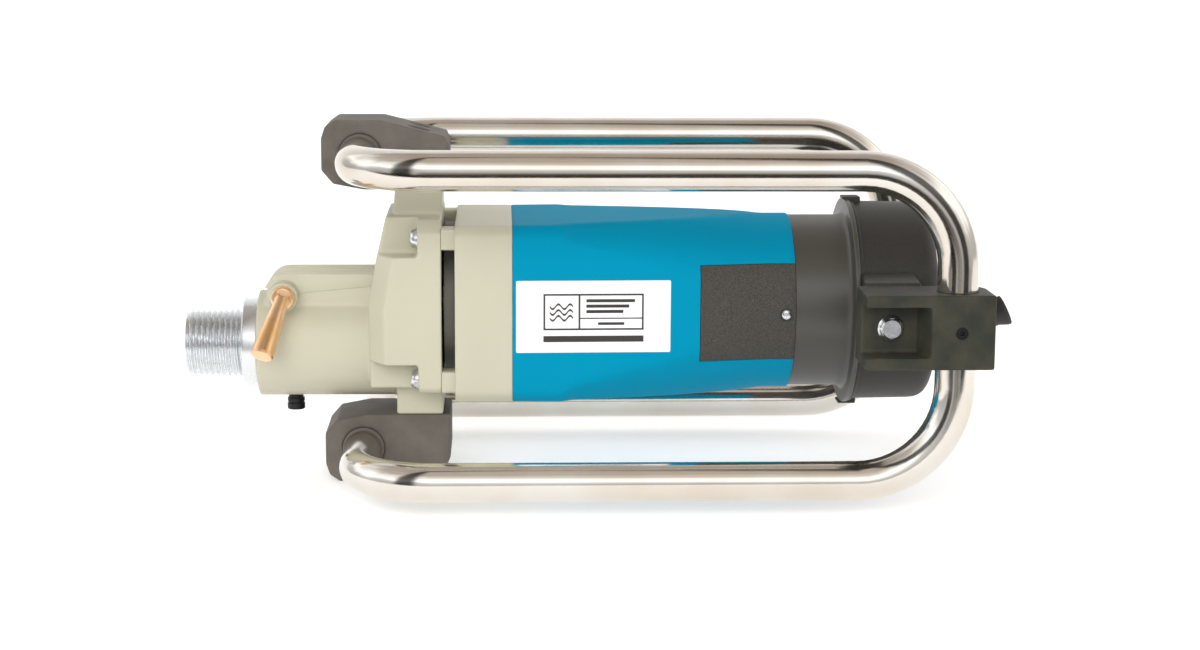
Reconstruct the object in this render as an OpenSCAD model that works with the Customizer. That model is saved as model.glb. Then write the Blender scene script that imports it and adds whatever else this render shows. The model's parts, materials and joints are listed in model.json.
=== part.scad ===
// Hand-carried electric drive unit of a concrete vibrator, in millimetres.
// The motor axis lies along X with the output thread at -X, and +Z is up. The origin is the centre of the
// footprint: the unit stands on its lower bracket.

/* [Overall frame] */
// Bracket metal above and below the middles of the outer tubes
bracket_over = 18; // [14:0.5:24]
// Half of the distance between the upper and lower tubes
tube_half_height = 77.5; // [76:0.5:93]
// Half of the distance between the near and far tubes
tube_half_width = 100; // [96:1:110]
// Outer diameter of the handle tube
tube_d = 20; // [18:0.5:22]
// Wall of the handle tube
tube_wall = 1.5; // [1:0.1:2.5]
// Centreline radius of the rear bends
rear_bend_r = 48; // [40:1:55]
// Centreline radius of the front bends
front_bend_r = 38; // [30:1:42]
// Distance of the cross tubes ahead of the gearcase head
cross_tube_ahead = 5.9; // [4.5:0.1:8.5]
// Distance of the upright rear tubes ahead of the cap's rear face
rear_tube_inset = 2; // [-2:0.1:6]

/* [Drive line] */
// Start of the output thread
front_x = -220.5; // [-226:0.5:-218]
// Length of the output thread
thread_len = 30; // [26:0.5:34]
// Nominal diameter of the output thread
thread_d = 36; // [34:1:38]
// Pitch of the output thread
thread_pitch = 3; // [2:0.5:4]
// Length of the connector's collar
collar_len = 8; // [6:0.5:10]
// Diameter of the connector's collar
collar_d = 48; // [44:0.5:52]
// Bore through the connector
connector_bore_d = 25; // [20.8:0.1:26]
// Depth of the motor axis below the frame's middle
motor_drop = 2; // [1.5:0.1:3.5]
// Gear module
gear_module = 1.25; // [1.15:0.05:1.3]
// Teeth on the motor pinion
pinion_teeth = 14; // [12:1:14]
// Teeth on the driven gear
gear_teeth = 22; // [21:1:24]

/* [Gearcase] */
// Length of the round nose
nose_len = 61; // [58:0.5:62]
// Diameter of the nose
nose_d = 56; // [54:0.5:60]
// Length of the gearcase head
head_len = 36.3; // [35:0.1:43.6]
// Half width of the gearcase head, and its height above its middle
head_half = 47; // [46:0.5:49]
// Depth of the gearcase head below its middle
head_depth = 43; // [42:0.5:46]
// Width of the air slot behind the head
slot_w = 6.9; // [5:0.1:9]
// Length of the fan housing ring
ring_len = 29.5; // [28:0.5:34]
// Half width of the fan housing ring
ring_half = 50.4; // [50:0.2:53]
// Half height of the fan housing ring
ring_half_h = 45.9; // [45.5:0.1:49]
// Radius that cuts the corners of the fan housing ring
ring_corner_r = 65; // [62:0.5:68]

/* [Motor] */
// Length of the motor housing
housing_len = 146.4; // [140:0.2:176]
// Rear diameter of the motor housing
housing_rear_d = 93.2; // [92.8:0.2:96]
// Diameter of the stator
stator_d = 88; // [73:0.5:88.4]
// Bore of the stator
stator_bore_d = 50; // [46:0.5:52]
// Length of the stator
stator_len = 62; // [54:1:66]
// Length of the rear housing
rear_len = 30; // [26:0.5:34]
// Diameter of the flange between rear housing and cap
flange_d = 109.6; // [107:0.2:112]
// Length of the rear cap
cap_len = 42; // [38:0.5:46]
// Diameter of the rear cap
cap_d = 106; // [105:0.5:108]

/* [Lock lever] */
// Distance of the lever's pivot behind the front of the nose
lever_back = 14.8; // [13.5:0.1:16.5]
// Height of the lever's pivot above the spindle axis
lever_up = 28.4; // [28:0.1:30]
// Travel of the lock plunger
lock_travel = 2.5; // [1.5:0.1:2.8]
// Swing of the lever from locked to free, in degrees
lever_swing = 90; // [60:5:90]

/* [Clamps and brackets] */
// Width of the brackets and lugs
bracket_w = 44; // [38:1:50]
// Height of the rear clamps
clamp_h = 37; // [34:0.5:42]
// Outer face of the rear clamps from the middle plane
clamp_out_y = 115; // [112.5:0.5:122]

/* [Hidden] */

fine = 96;
small = 48;
eps = 0.5;             // overshoot of a cutting shape past the face it cuts
run_fit = 0.05;        // radial clearance of a running fit
gap = 0.3;             // gap between curved faces on different bodies

// Stations along X, from the output thread to the cord gland
collar_x = front_x + thread_len;
nose_x = collar_x + collar_len;
head_x = nose_x + nose_len;
slot_x = head_x + head_len;
ring_x = slot_x + slot_w;
housing_x = ring_x + ring_len;
rear_x = housing_x + housing_len;
flange_x = rear_x + rear_len;
flange_t = 2.5;
cap_x = flange_x + flange_t;
cap_end_x = cap_x + cap_len;
cross_tube_x = head_x - cross_tube_ahead;
rear_tube_x = cap_end_x - rear_tube_inset;

// Axes
frame_z = tube_half_height + bracket_over;
motor_z = frame_z - motor_drop;
case_z = frame_z - 0.5;
gear_distance = gear_module * (pinion_teeth + gear_teeth) / 2;
spindle_z = motor_z - gear_distance;

// Tube frame
tube_r = tube_d / 2;
top_tube_z = frame_z + tube_half_height;

// Bearings: inner radius, outer radius, width
spindle_brg = [8.5, 17.5, 10];
arm_front_brg = [6, 16, 10];
arm_rear_brg = [5, 15, 9];

// Drive line stations
spigot_end_x = nose_x + 22.5;
spigot_r = 20;
seal_x = spigot_end_x;
seal_w = 4;
front_brg_x = seal_x + seal_w;
gear_w = 10;
cover_x = slot_x - 11.5;
gear_x = cover_x - 2.3 - gear_w;
gear_cavity_x = gear_x - 1.5;
rear_brg_x = gear_cavity_x - 0.5 - spindle_brg[2];
gear_cavity_r = gear_module * (gear_teeth / 2 + 1) + 2.75;
pinion_cavity_r = gear_module * (pinion_teeth / 2 + 1) + 2.4;
cover_r = 40;
cover_screw_pitch_r = 35;

// Corner screws of the gearcase
corner_dy = 38;
bevel_w = 13;
bevel_depth = 8.5;
slice_t = 0.1;
corner_dz = 36.7;
pocket_x = slot_x - 12.2;
corner_screw_r = 2.5;
corner_screw_end_x = housing_x + 14;

// Fan
fan_x = slot_x + 1.2;
fan_room_r = 44.2;
fan_r = fan_room_r - 2.2;
fan_disc_t = 3;
fan_rim_w = 8;
fan_len = 21;
fan_blades = 12;

// Motor
bore_r = stator_d / 2 + 0.3;
stator_x = housing_x + 18;
arm_r = stator_bore_d / 2 - 0.6;
pole_w = 40;
coil_r = stator_d / 2 - 8.2;
coil_over = 8;
comm_x = stator_x + stator_len + 21;
comm_len = 22;
comm_r = 16;
brush_x = comm_x + comm_len / 2;
carrier_x = rear_x + 7;
arm_rear_brg_x = carrier_x + 1;
shaft_end_x = arm_rear_brg_x + arm_rear_brg[2] + 1.5;
front_prism_len = 25;
square_rear_half = housing_rear_d / 2 + 1;
side_taper = atan((ring_half - square_rear_half) / housing_len);
post_off = 27;
window_half_z = 25.2;
window_x = rear_x - 49.9;

// Lock lever
lever_r = 5;
cam_half_w = 4;
lever_x = nose_x + lever_back;
lever_z = spindle_z + lever_up;
cam_low = 1.9;
cam_rate = lock_travel / (lever_swing * PI / 180);
boss_out_y = 27.5;
bump_r = 9.6;
bump_half = 17;
clip_r = 6.1;
plunger_r = 3;
plunger_top_z = lever_z - cam_low - gap;
plunger_tip_z = spindle_z + connector_bore_d / 2 + 0.2;
handle_end = [lever_x - 9.5, -50, lever_z - 29.2];

// Switch and cord gland
switch_y = 26;
switch_z = motor_z + 1.5;
gland_z = motor_z - 16.5;
gland_tilt = 24;
gland_bell_len = 24.8;

// Clamps
clamp_mid_z = frame_z - 0.3;
clamp_x0 = cap_x - 7.1;
clamp_x1 = rear_tube_x + 16.5;
pad_y = clamp_out_y - 33;
clamp_floor_y = clamp_out_y - 17;
channel_half = 12.5;
channel_x1 = clamp_x0 + 32.5;
clamp_bolt_x = clamp_x0 + 14.8;
clamp_bolt_z = clamp_mid_z - 0.3;
clamp_bolt_len = 34;

// Lugs and brackets
lug_half = 59.5;
lug_z = frame_z + lug_half;
lug_t = 16;
bolt_grip = 20;
bolt_seat = tube_half_height - lug_half + bolt_grip;
bush_wall = 0.9;

// ---- helpers ----

module xcyl(x0, x1, r, z = motor_z, y = 0, fn = fine) {
    translate([x0, y, z]) rotate([0, 90, 0]) cylinder(h = x1 - x0, r = r, $fn = fn);
}

module ycyl(y0, y1, r, x, z, fn = small) {
    translate([x, y1, z]) rotate([90, 0, 0]) cylinder(h = y1 - y0, r = r, $fn = fn);
}

module zcyl(z0, z1, r, x, y, fn = small) {
    translate([x, y, z0]) cylinder(h = z1 - z0, r = r, $fn = fn);
}

module box(x0, x1, y0, y1, z0, z1) {
    translate([x0, y0, z0]) cube([x1 - x0, y1 - y0, z1 - z0]);
}

// A profile of (x, r) points turned about an X axis at height z
module turned(points, z = motor_z) {
    translate([0, 0, z]) rotate([0, 90, 0]) rotate_extrude($fn = fine)
        polygon([for (p = points) [p[1], p[0]]]);
}

// A side view outline of (x, z) points, extruded from -half to half across Y
module side_plate(points, half) {
    translate([0, half, 0]) rotate([90, 0, 0]) linear_extrude(2 * half) polygon(points);
}

module ring_bearing(x, z, size) {
    difference() {
        xcyl(x, x + size[2], size[1], z);
        xcyl(x - eps, x + size[2] + eps, size[0], z);
        for (face = [x - eps, x + size[2] - 0.4]) difference() {
            xcyl(face, face + 0.4 + eps, size[0] + (size[1] - size[0]) * 0.72, z);
            xcyl(face - eps, face + 1 + 2 * eps, size[0] + (size[1] - size[0]) * 0.28, z);
        }
    }
}

// Places its child at the four corner screws of the gearcase
module at_corners() {
    for (sy = [-1, 1], sz = [-1, 1]) translate([0, sy * corner_dy, case_z + sz * corner_dz]) children();
}

// Places its child at the four long screws of the rear cap
module at_posts() {
    for (sy = [-1, 1], sz = [-1, 1]) translate([0, sy * post_off, motor_z + sz * post_off]) children();
}

module along_x(x0, x1, r, fn = small) {
    translate([x0, 0, 0]) rotate([0, 90, 0]) cylinder(h = x1 - x0, r = r, $fn = fn);
}

// Straight-flanked spur gear outline with a little backlash
module gear_outline(teeth, bore) {
    pitch_r = gear_module * teeth / 2;
    root_r = pitch_r - 1.25 * gear_module;
    tip_r = pitch_r + 0.9 * gear_module;
    step = 360 / teeth;
    difference() {
        polygon([for (i = [0 : teeth - 1]) each [
            for (p = [[root_r, -0.36], [pitch_r, -0.225], [tip_r, -0.11],
                      [tip_r, 0.11], [pitch_r, 0.225], [root_r, 0.36]])
                [p[0] * cos((i + p[1]) * step), p[0] * sin((i + p[1]) * step)]
        ]]);
        circle(r = bore, $fn = small);
    }
}

// ---- gearcase ----

module nose_shape() {
    xcyl(nose_x, slot_x, nose_d / 2, spindle_z);
    box(lever_x, head_x + 8, -bump_half, bump_half, spindle_z + 10, lever_z + bump_r);
    box(lever_x - bump_r, lever_x + 1, -bump_half, bump_half, spindle_z + 10, lever_z);
    ycyl(-bump_half, bump_half, bump_r, lever_x, lever_z);
    ycyl(-boss_out_y, 0, 7.5, lever_x, lever_z);
}

// The front of the head leans back above its middle and has a wide bevel on each side
module head_shape() {
    levels = [[case_z - head_depth, -1.1], [case_z, -1.7], [case_z + 25, 2.4], [case_z + head_half, 7.5]];
    intersection() {
        for (i = [0 : 2]) hull() {
            head_slice(levels[i], 0);
            head_slice(levels[i + 1], slice_t);
        }
        xcyl(head_x - 3, slot_x, 62, case_z);
    }
}

module head_slice(level, drop) {
    front = head_x + level[1];
    translate([0, 0, level[0] - drop]) linear_extrude(slice_t)
        polygon([[front, bevel_w - head_half], [front + bevel_depth, -head_half], [slot_x, -head_half],
                 [slot_x, head_half], [front + bevel_depth, head_half], [front, head_half - bevel_w]]);
}

module corner_pockets() {
    for (sy = [-1, 1], sz = [-1, 1])
        translate([head_x - 5, sy > 0 ? 31 : -31 - 20, case_z + (sz > 0 ? 28 : -28 - 20)])
            cube([pocket_x - head_x + 5, 20, 20]);
}

module gearcase() {
    color("#DAD5BE") difference() {
        union() {
            nose_shape();
            difference() {
                head_shape();
                corner_pockets();
            }
            side_plate([[head_x + 10.5, lug_z - lug_t], [head_x + 12, lug_z], [slot_x, lug_z],
                        [slot_x, lug_z - lug_t]], bracket_w / 2);
            box(head_x + 12, slot_x, -bracket_w / 2, bracket_w / 2,
                2 * frame_z - lug_z, case_z - head_depth + 1);
        }
        xcyl(nose_x - eps, spigot_end_x, spigot_r, spindle_z);
        xcyl(spigot_end_x - eps, front_brg_x + spindle_brg[2], spindle_brg[1], spindle_z);
        xcyl(front_brg_x + spindle_brg[2] - eps, rear_brg_x + eps, 12.5, spindle_z);
        xcyl(rear_brg_x, gear_cavity_x + eps, spindle_brg[1], spindle_z);
        xcyl(gear_cavity_x, cover_x + eps, gear_cavity_r, spindle_z);
        xcyl(gear_cavity_x, cover_x + eps, pinion_cavity_r, motor_z);
        xcyl(cover_x, slot_x + eps, cover_r, motor_z);
        ycyl(-boss_out_y - eps, bump_half + eps, lever_r + run_fit, lever_x, lever_z);
        zcyl(spindle_z, lever_z, plunger_r + run_fit, lever_x, 0);
        zcyl(spindle_z - nose_d / 2 - eps, spindle_z, 3, lever_x + 3.4, 0);
        at_corners() along_x(pocket_x - eps, slot_x + eps, corner_screw_r + 0.25);
        cover_screw_places() along_x(cover_x - 12, cover_x + eps, 2);
        bracket_bolt_places() zcyl(-eps, bolt_grip + 2 + eps, 3, 0, 0);
    }
}

module cover_screw_places() {
    for (angle = [30, 150, 210, 330])
        translate([0, cover_screw_pitch_r * cos(angle), motor_z + cover_screw_pitch_r * sin(angle)]) children();
}

module gear_cover() {
    color("#B9B7B0") difference() {
        xcyl(cover_x, slot_x, cover_r);
        xcyl(slot_x - 1.5 - arm_front_brg[2], slot_x + eps, arm_front_brg[1]);
        xcyl(cover_x - eps, slot_x, arm_front_brg[0] + 2);
        cover_screw_places() {
            along_x(cover_x - eps, slot_x + eps, 2.2);
            along_x(slot_x - 3.5, slot_x + eps, 4);
        }
    }
}

module gear_cover_screws() {
    color("silver") cover_screw_places() difference() {
        union() {
            along_x(cover_x - 12, slot_x - 3, 2);
            along_x(slot_x - 3.5, slot_x - 0.5, 3.6);
        }
        along_x(slot_x - 2, slot_x, 1.5, 6);
    }
}

module corner_pieces(x0, x1) {
    intersection() {
        for (sy = [-1, 1], sz = [-1, 1])
            translate([x0, sy > 0 ? 34 : -head_half, case_z + (sz > 0 ? 31.5 : -head_depth)])
                cube([x1 - x0, head_half - 34, head_depth - 31.5]);
        xcyl(x0, x1, 62, case_z);
    }
}

module fan_housing() {
    color("#DAD5BE") difference() {
        union() {
            intersection() {
                box(ring_x, housing_x, -ring_half, ring_half, motor_z - ring_half_h, motor_z + ring_half_h);
                xcyl(ring_x, housing_x, ring_corner_r);
            }
            corner_pieces(slot_x, ring_x + eps);
        }
        xcyl(ring_x - eps, housing_x + eps, fan_room_r);
        at_corners() along_x(slot_x - eps, housing_x + eps, corner_screw_r + 0.25);
    }
}

module fan_baffle() {
    color("#3A3936") difference() {
        xcyl(housing_x - 5, housing_x, fan_room_r);
        xcyl(housing_x - 5 - eps, housing_x + eps, 30);
    }
}

module gearcase_screws() {
    color("silver") at_corners() difference() {
        union() {
            along_x(pocket_x, corner_screw_end_x, corner_screw_r);
            along_x(pocket_x - 1, pocket_x, 5.6);
            along_x(pocket_x - 4.2, pocket_x - 1, 4.8);
        }
        for (turn = [0, 90]) rotate([turn, 0, 0])
            translate([pocket_x - 5, -0.6, -2.6]) cube([2.6, 1.2, 5.2]);
    }
}

// ---- motor ----

// Outside of the motor housing: a square prism at the front that tapers into a round rear end
module housing_shape() {
    intersection() {
        xcyl(housing_x, housing_x + front_prism_len, ring_corner_r);
        tapered_block();
    }
    intersection() {
        turned([[housing_x + eps, 0], [housing_x + eps, ring_corner_r - 3],
                [rear_x, housing_rear_d / 2], [rear_x, 0]]);
        tapered_block();
    }
}

module tapered_block() {
    translate([housing_x, 0, motor_z]) rotate([0, 90, 0])
        linear_extrude(height = housing_len, scale = [square_rear_half / ring_half_h, square_rear_half / ring_half])
            square([2 * ring_half_h, 2 * ring_half], center = true);
}

module cover_zone(side) {
    box(window_x, rear_x, side > 0 ? 38 : -60, side > 0 ? 60 : -38,
        motor_z - window_half_z, motor_z + window_half_z);
}

module motor_housing() {
    color("#0097BF") difference() {
        housing_shape();
        difference() {
            xcyl(housing_x - eps, rear_x + eps, bore_r);
            at_posts() along_x(comm_x - 4, rear_x + 2 * eps, 6.5);
        }
        at_corners() along_x(housing_x - eps, corner_screw_end_x, corner_screw_r);
        at_posts() along_x(comm_x, rear_x + eps, 2);
        cover_zone(-1);
        cover_zone(1);
    }
}

module brush_cover(side) {
    color("#4A4742") difference() {
        intersection() {
            housing_shape();
            cover_zone(side);
        }
        xcyl(window_x - eps, rear_x + eps, bore_r);
        ycyl(side > 0 ? 30 : -60, side > 0 ? 60 : -30, 1.6, rear_x - 4.9, motor_z - 0.7);
        ycyl(side > 0 ? 45.6 : -60, side > 0 ? 60 : -45.6, 3.4, rear_x - 4.9, motor_z - 0.7);
    }
}

module brush_cover_left() { brush_cover(-1); }

module brush_cover_right() { brush_cover(1); }

module brush_cover_screws() {
    color("silver") for (side = [-1, 1]) difference() {
        union() {
            ycyl(side > 0 ? 41.4 : -46, side > 0 ? 46 : -41.4, 1.5, rear_x - 4.9, motor_z - 0.7);
            ycyl(side > 0 ? 45.6 : -46.8, side > 0 ? 46.8 : -45.6, 2.8, rear_x - 4.9, motor_z - 0.7);
        }
        translate([rear_x - 5.2, side * 46.6 - 0.5, motor_z - 2.5]) cube([0.6, 1, 3.6]);
    }
}

module brush_holder(side) {
    color("#B8913F") translate([brush_x, 0, motor_z]) rotate([side < 0 ? 90 : -90, 0, 0]) difference() {
        translate([-6.2, -8.5, comm_r + 2]) cube([12.4, 17, 22]);
        translate([-4.2, -6.5, comm_r + 1]) cube([8.4, 13, 21]);
    }
}

module brush_holder_left() { brush_holder(-1); }

module brush_holder_right() { brush_holder(1); }

module carbon_brush(side) {
    color("#2B2B2B") translate([brush_x, 0, motor_z]) rotate([side < 0 ? 90 : -90, 0, 0]) {
        translate([-4, -6.3, comm_r + gap]) cube([8, 12.6, 15]);
        translate([0, 0, comm_r + 15]) cylinder(h = 7, r = 3, $fn = small);
    }
}

module carbon_brush_left() { carbon_brush(-1); }

module carbon_brush_right() { carbon_brush(1); }

module stator_core() {
    color("#8A8C8E") {
        difference() {
            xcyl(stator_x, stator_x + stator_len, stator_d / 2);
            xcyl(stator_x - eps, stator_x + stator_len + eps, coil_r);
        }
        intersection() {
            difference() {
                xcyl(stator_x, stator_x + stator_len, coil_r + 1);
                xcyl(stator_x - eps, stator_x + stator_len + eps, stator_bore_d / 2);
            }
            box(stator_x, stator_x + stator_len, -pole_w / 2, pole_w / 2,
                motor_z - stator_d / 2, motor_z + stator_d / 2);
        }
    }
}

module field_coils() {
    x0 = stator_x - coil_over;
    x1 = stator_x + stator_len + coil_over;
    color("#A8592B") for (side = [-1, 1]) difference() {
        intersection() {
            xcyl(x0, x1, coil_r);
            box(x0, x1, -28, 28, side > 0 ? motor_z + 6 : motor_z - 40, side > 0 ? motor_z + 40 : motor_z - 6);
        }
        xcyl(x0 - eps, x1 + eps, stator_bore_d / 2 + 1);
        box(stator_x, stator_x + stator_len, -pole_w / 2, pole_w / 2, motor_z - 40, motor_z + 40);
    }
}

module armature_shaft() {
    pinion_r = 4.5;
    seat_x = slot_x - 1.5 - arm_front_brg[2];
    color("#9DA0A3") turned([
        [gear_x - 1, 0], [gear_x - 1, pinion_r], [cover_x + 0.5, pinion_r],
        [cover_x + 0.5, arm_front_brg[0] - run_fit], [slot_x - 0.8, arm_front_brg[0] - run_fit],
        [slot_x - 0.8, 7], [comm_x + comm_len + 1, 7],
        [comm_x + comm_len + 1, arm_rear_brg[0] - run_fit], [shaft_end_x, arm_rear_brg[0] - run_fit],
        [shaft_end_x, 0]]);
}

module armature_core() {
    slots = 12;
    color("#7C7E80") difference() {
        xcyl(stator_x, stator_x + stator_len, arm_r);
        xcyl(stator_x - eps, stator_x + stator_len + eps, 7);
        for (i = [0 : slots - 1]) translate([0, 0, motor_z]) rotate([i * 360 / slots, 0, 0])
            box(stator_x - eps, stator_x + stator_len + eps, -1.4, 1.4, arm_r - 8, arm_r + 1);
    }
}

module armature_windings() {
    color("#B5652F") for (x0 = [stator_x - 12, stator_x + stator_len]) difference() {
        xcyl(x0, x0 + 12, arm_r - 3);
        xcyl(x0 - eps, x0 + 12 + eps, 7);
    }
}

module commutator() {
    bars = 24;
    color("#C98A4B") difference() {
        xcyl(comm_x, comm_x + comm_len, comm_r);
        xcyl(comm_x - eps, comm_x + comm_len + eps, 7);
        for (i = [0 : bars - 1]) translate([0, 0, motor_z]) rotate([i * 360 / bars, 0, 0])
            box(comm_x - eps, comm_x + comm_len + eps, -0.3, 0.3, comm_r - 1, comm_r + 1);
    }
}

module cooling_fan() {
    color("#55575A") difference() {
        union() {
            xcyl(fan_x, fan_x + fan_disc_t, fan_r);
            difference() {
                xcyl(fan_x, fan_x + fan_rim_w, fan_r);
                xcyl(fan_x + 1, fan_x + fan_rim_w + eps, fan_r - 1.5);
            }
            xcyl(fan_x, fan_x + fan_len, 13);
            for (i = [0 : fan_blades - 1]) translate([0, 0, motor_z]) rotate([i * 360 / fan_blades, 0, 0])
                box(fan_x + 1, fan_x + fan_len, -0.9, 0.9, 10, fan_r - 1);
        }
        xcyl(fan_x - eps, fan_x + fan_len + eps, 7);
    }
}

module motor_pinion() {
    color("#8E9194") translate([gear_x - 1, 0, motor_z]) rotate([0, 90, 0])
        linear_extrude(gear_w + 2) gear_outline(pinion_teeth, 4.5);
}

module armature_bearing_front() {
    color("silver") ring_bearing(slot_x - 1.5 - arm_front_brg[2], motor_z, arm_front_brg);
}

module armature_bearing_rear() {
    color("silver") ring_bearing(arm_rear_brg_x, motor_z, arm_rear_brg);
}

// ---- output spindle ----

module output_spindle() {
    shoulder_r = 10.5;
    color("#9DA0A3") difference() {
        turned([
            [seal_x - 3, 0], [seal_x - 3, 7.5], [seal_x - 2, spindle_brg[0] - run_fit],
            [front_brg_x + spindle_brg[2] + 0.3, spindle_brg[0] - run_fit],
            [front_brg_x + spindle_brg[2] + 0.3, shoulder_r], [rear_brg_x - 0.3, shoulder_r],
            [rear_brg_x - 0.3, spindle_brg[0] - run_fit], [gear_x + gear_w + 1, spindle_brg[0] - run_fit],
            [gear_x + gear_w + 1, 0]], spindle_z);
        xcyl(seal_x - 3 - eps, seal_x + 14, 5, spindle_z);
        box(seal_x - 3 - eps, seal_x + 3, -1.6, 1.6, spindle_z - 9, spindle_z + 9);
    }
}

module driven_gear() {
    half_tooth = 180 / gear_teeth;
    color("#8E9194") translate([gear_x, 0, spindle_z]) rotate([0, 90, 0]) rotate([0, 0, half_tooth])
        linear_extrude(gear_w) gear_outline(gear_teeth, spindle_brg[0] - run_fit);
}

module spindle_bearing_front() {
    color("silver") ring_bearing(front_brg_x, spindle_z, spindle_brg);
}

module spindle_bearing_rear() {
    color("silver") ring_bearing(rear_brg_x, spindle_z, spindle_brg);
}

module spindle_seal() {
    color("#2A2A2A") difference() {
        xcyl(seal_x, seal_x + seal_w, spindle_brg[1], spindle_z);
        xcyl(seal_x - eps, seal_x + seal_w + eps, spindle_brg[0], spindle_z);
    }
}

// Thread ridges are closed rings with flat crests at the nominal diameter
module thread_connector() {
    crest_r = thread_d / 2;
    root_r = crest_r - 0.61 * thread_pitch;
    ridges = floor(thread_len / thread_pitch);
    color("#C9CCCE") difference() {
        turned(concat(
            [[front_x, 0], [front_x, root_r]],
            [for (i = [0 : ridges - 1]) for (p = [[0.08, root_r], [0.42, crest_r], [0.6, crest_r], [0.94, root_r]])
                [front_x + (i + p[0]) * thread_pitch, p[1]]],
            [[collar_x, root_r], [collar_x, collar_d / 2], [nose_x, collar_d / 2], [nose_x, spigot_r],
             [spigot_end_x, spigot_r], [spigot_end_x, 0]]), spindle_z);
        xcyl(front_x - eps, spigot_end_x - 5, connector_bore_d / 2, spindle_z);
        xcyl(spigot_end_x - 6, spigot_end_x + eps, 11, spindle_z);
        zcyl(spindle_z, spindle_z + 25, plunger_r + 0.5, lever_x, 0);
        zcyl(spindle_z - 25, spindle_z - 17, 3, lever_x + 3.4, 0);
    }
}

module connector_set_screw() {
    x = lever_x + 3.4;
    bottom = spindle_z - nose_d / 2;
    color("#1E1E20") difference() {
        union() {
            zcyl(bottom - 8, bottom - 0.2, 4.7, x, 0);
            zcyl(bottom - 1, spindle_z - 17, 3, x, 0);
        }
        zcyl(bottom - 9, bottom - 4, 2.3, x, 0, 6);
    }
}

// ---- lock lever ----

// The cam's height under the pivot grows evenly with the swing, so the plunger follows at a constant rate
function cam_height(turn) = cam_low + cam_rate * turn * PI / 180;
function cam_point(turn) = let (a = turn - 90, h = cam_height(turn))
    [h * cos(a) - cam_rate * sin(a), h * sin(a) + cam_rate * cos(a)];

module cam_outline() {
    over = 4;
    back_r = cam_height(-over) - 0.1;
    polygon(concat(
        [for (turn = [-over : 4 : lever_swing + over]) cam_point(turn)],
        [for (a = [40 : 14 : 250]) [back_r * cos(a), back_r * sin(a)]]));
}

module lock_lever() {
    head_y = boss_out_y + gap;
    shaft_end_y = bump_half + 3.5;
    run = handle_end - [lever_x, -head_y - 2, lever_z];
    reach = norm(run);
    color("#C98F4A") {
        ycyl(-head_y - 4, -cam_half_w, lever_r, lever_x, lever_z);
        ycyl(-head_y - 4, -head_y, 6.2, lever_x, lever_z);
        translate([lever_x, cam_half_w + eps, lever_z]) rotate([90, 0, 0])
            linear_extrude(2 * (cam_half_w + eps)) cam_outline();
        difference() {
            ycyl(cam_half_w, shaft_end_y, lever_r, lever_x, lever_z);
            clip_groove();
        }
        translate([lever_x, -head_y - 2, lever_z])
            rotate([0, acos(run[2] / reach), atan2(run[1], run[0])]) {
                cylinder(h = reach - 2, r1 = 3, r2 = 6, $fn = small);
                translate([0, 0, reach - 2]) cylinder(h = 2, r1 = 6, r2 = 4.8, $fn = small);
            }
    }
}

module clip_groove() {
    difference() {
        ycyl(bump_half + gap, bump_half + gap + 1.2, clip_r, lever_x, lever_z);
        ycyl(bump_half, bump_half + 2, lever_r - 0.8, lever_x, lever_z);
    }
}

module lever_clip() {
    color("#6F7377") difference() {
        ycyl(bump_half + gap, bump_half + gap + 1.2, clip_r, lever_x, lever_z);
        ycyl(bump_half, bump_half + 3, lever_r - 0.8, lever_x, lever_z);
        box(lever_x - 2, lever_x + 2, bump_half, bump_half + 3, lever_z, lever_z + 9);
    }
}

module lock_plunger() {
    color("#8E9194") {
        zcyl(plunger_tip_z + 1.2, plunger_top_z, plunger_r, lever_x, 0);
        translate([lever_x, 0, plunger_tip_z]) cylinder(h = 1.2, r1 = 1.8, r2 = plunger_r, $fn = small);
    }
}

// ---- rear end ----

module rear_housing() {
    body_r = housing_rear_d / 2 - 0.9;
    flare = 3.5;
    color("#4A4742") difference() {
        union() {
            difference() {
                turned(concat(
                    [[rear_x, 40], [rear_x, body_r], [flange_x - flare, body_r]],
                    [for (a = [15 : 15 : 75]) [flange_x - flare + flare * sin(a), body_r + flare * (1 - cos(a)) * 0.6]],
                    [[flange_x, body_r + 5.4], [flange_x, flange_d / 2], [cap_x, flange_d / 2], [cap_x, 40]]));
                xcyl(rear_x - eps, cap_x + eps, 42.5);
            }
            difference() {
                xcyl(carrier_x, carrier_x + 4, 43);
                for (angle = [0 : 45 : 315]) translate([0, 0, motor_z]) rotate([angle, 0, 0])
                    along_x_at(28);
            }
            xcyl(carrier_x, arm_rear_brg_x + arm_rear_brg[2] + 2, 18.5);
            at_posts() along_x(rear_x, cap_x, 5);
        }
        xcyl(arm_rear_brg_x, cap_x, arm_rear_brg[1]);
        xcyl(rear_x, cap_x, 9);
        at_posts() along_x(rear_x - eps, cap_x + eps, 2.2);
    }
}

module along_x_at(radius) {
    translate([0, 0, radius]) along_x(carrier_x - eps, carrier_x + 4 + eps, 6);
}

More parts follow.
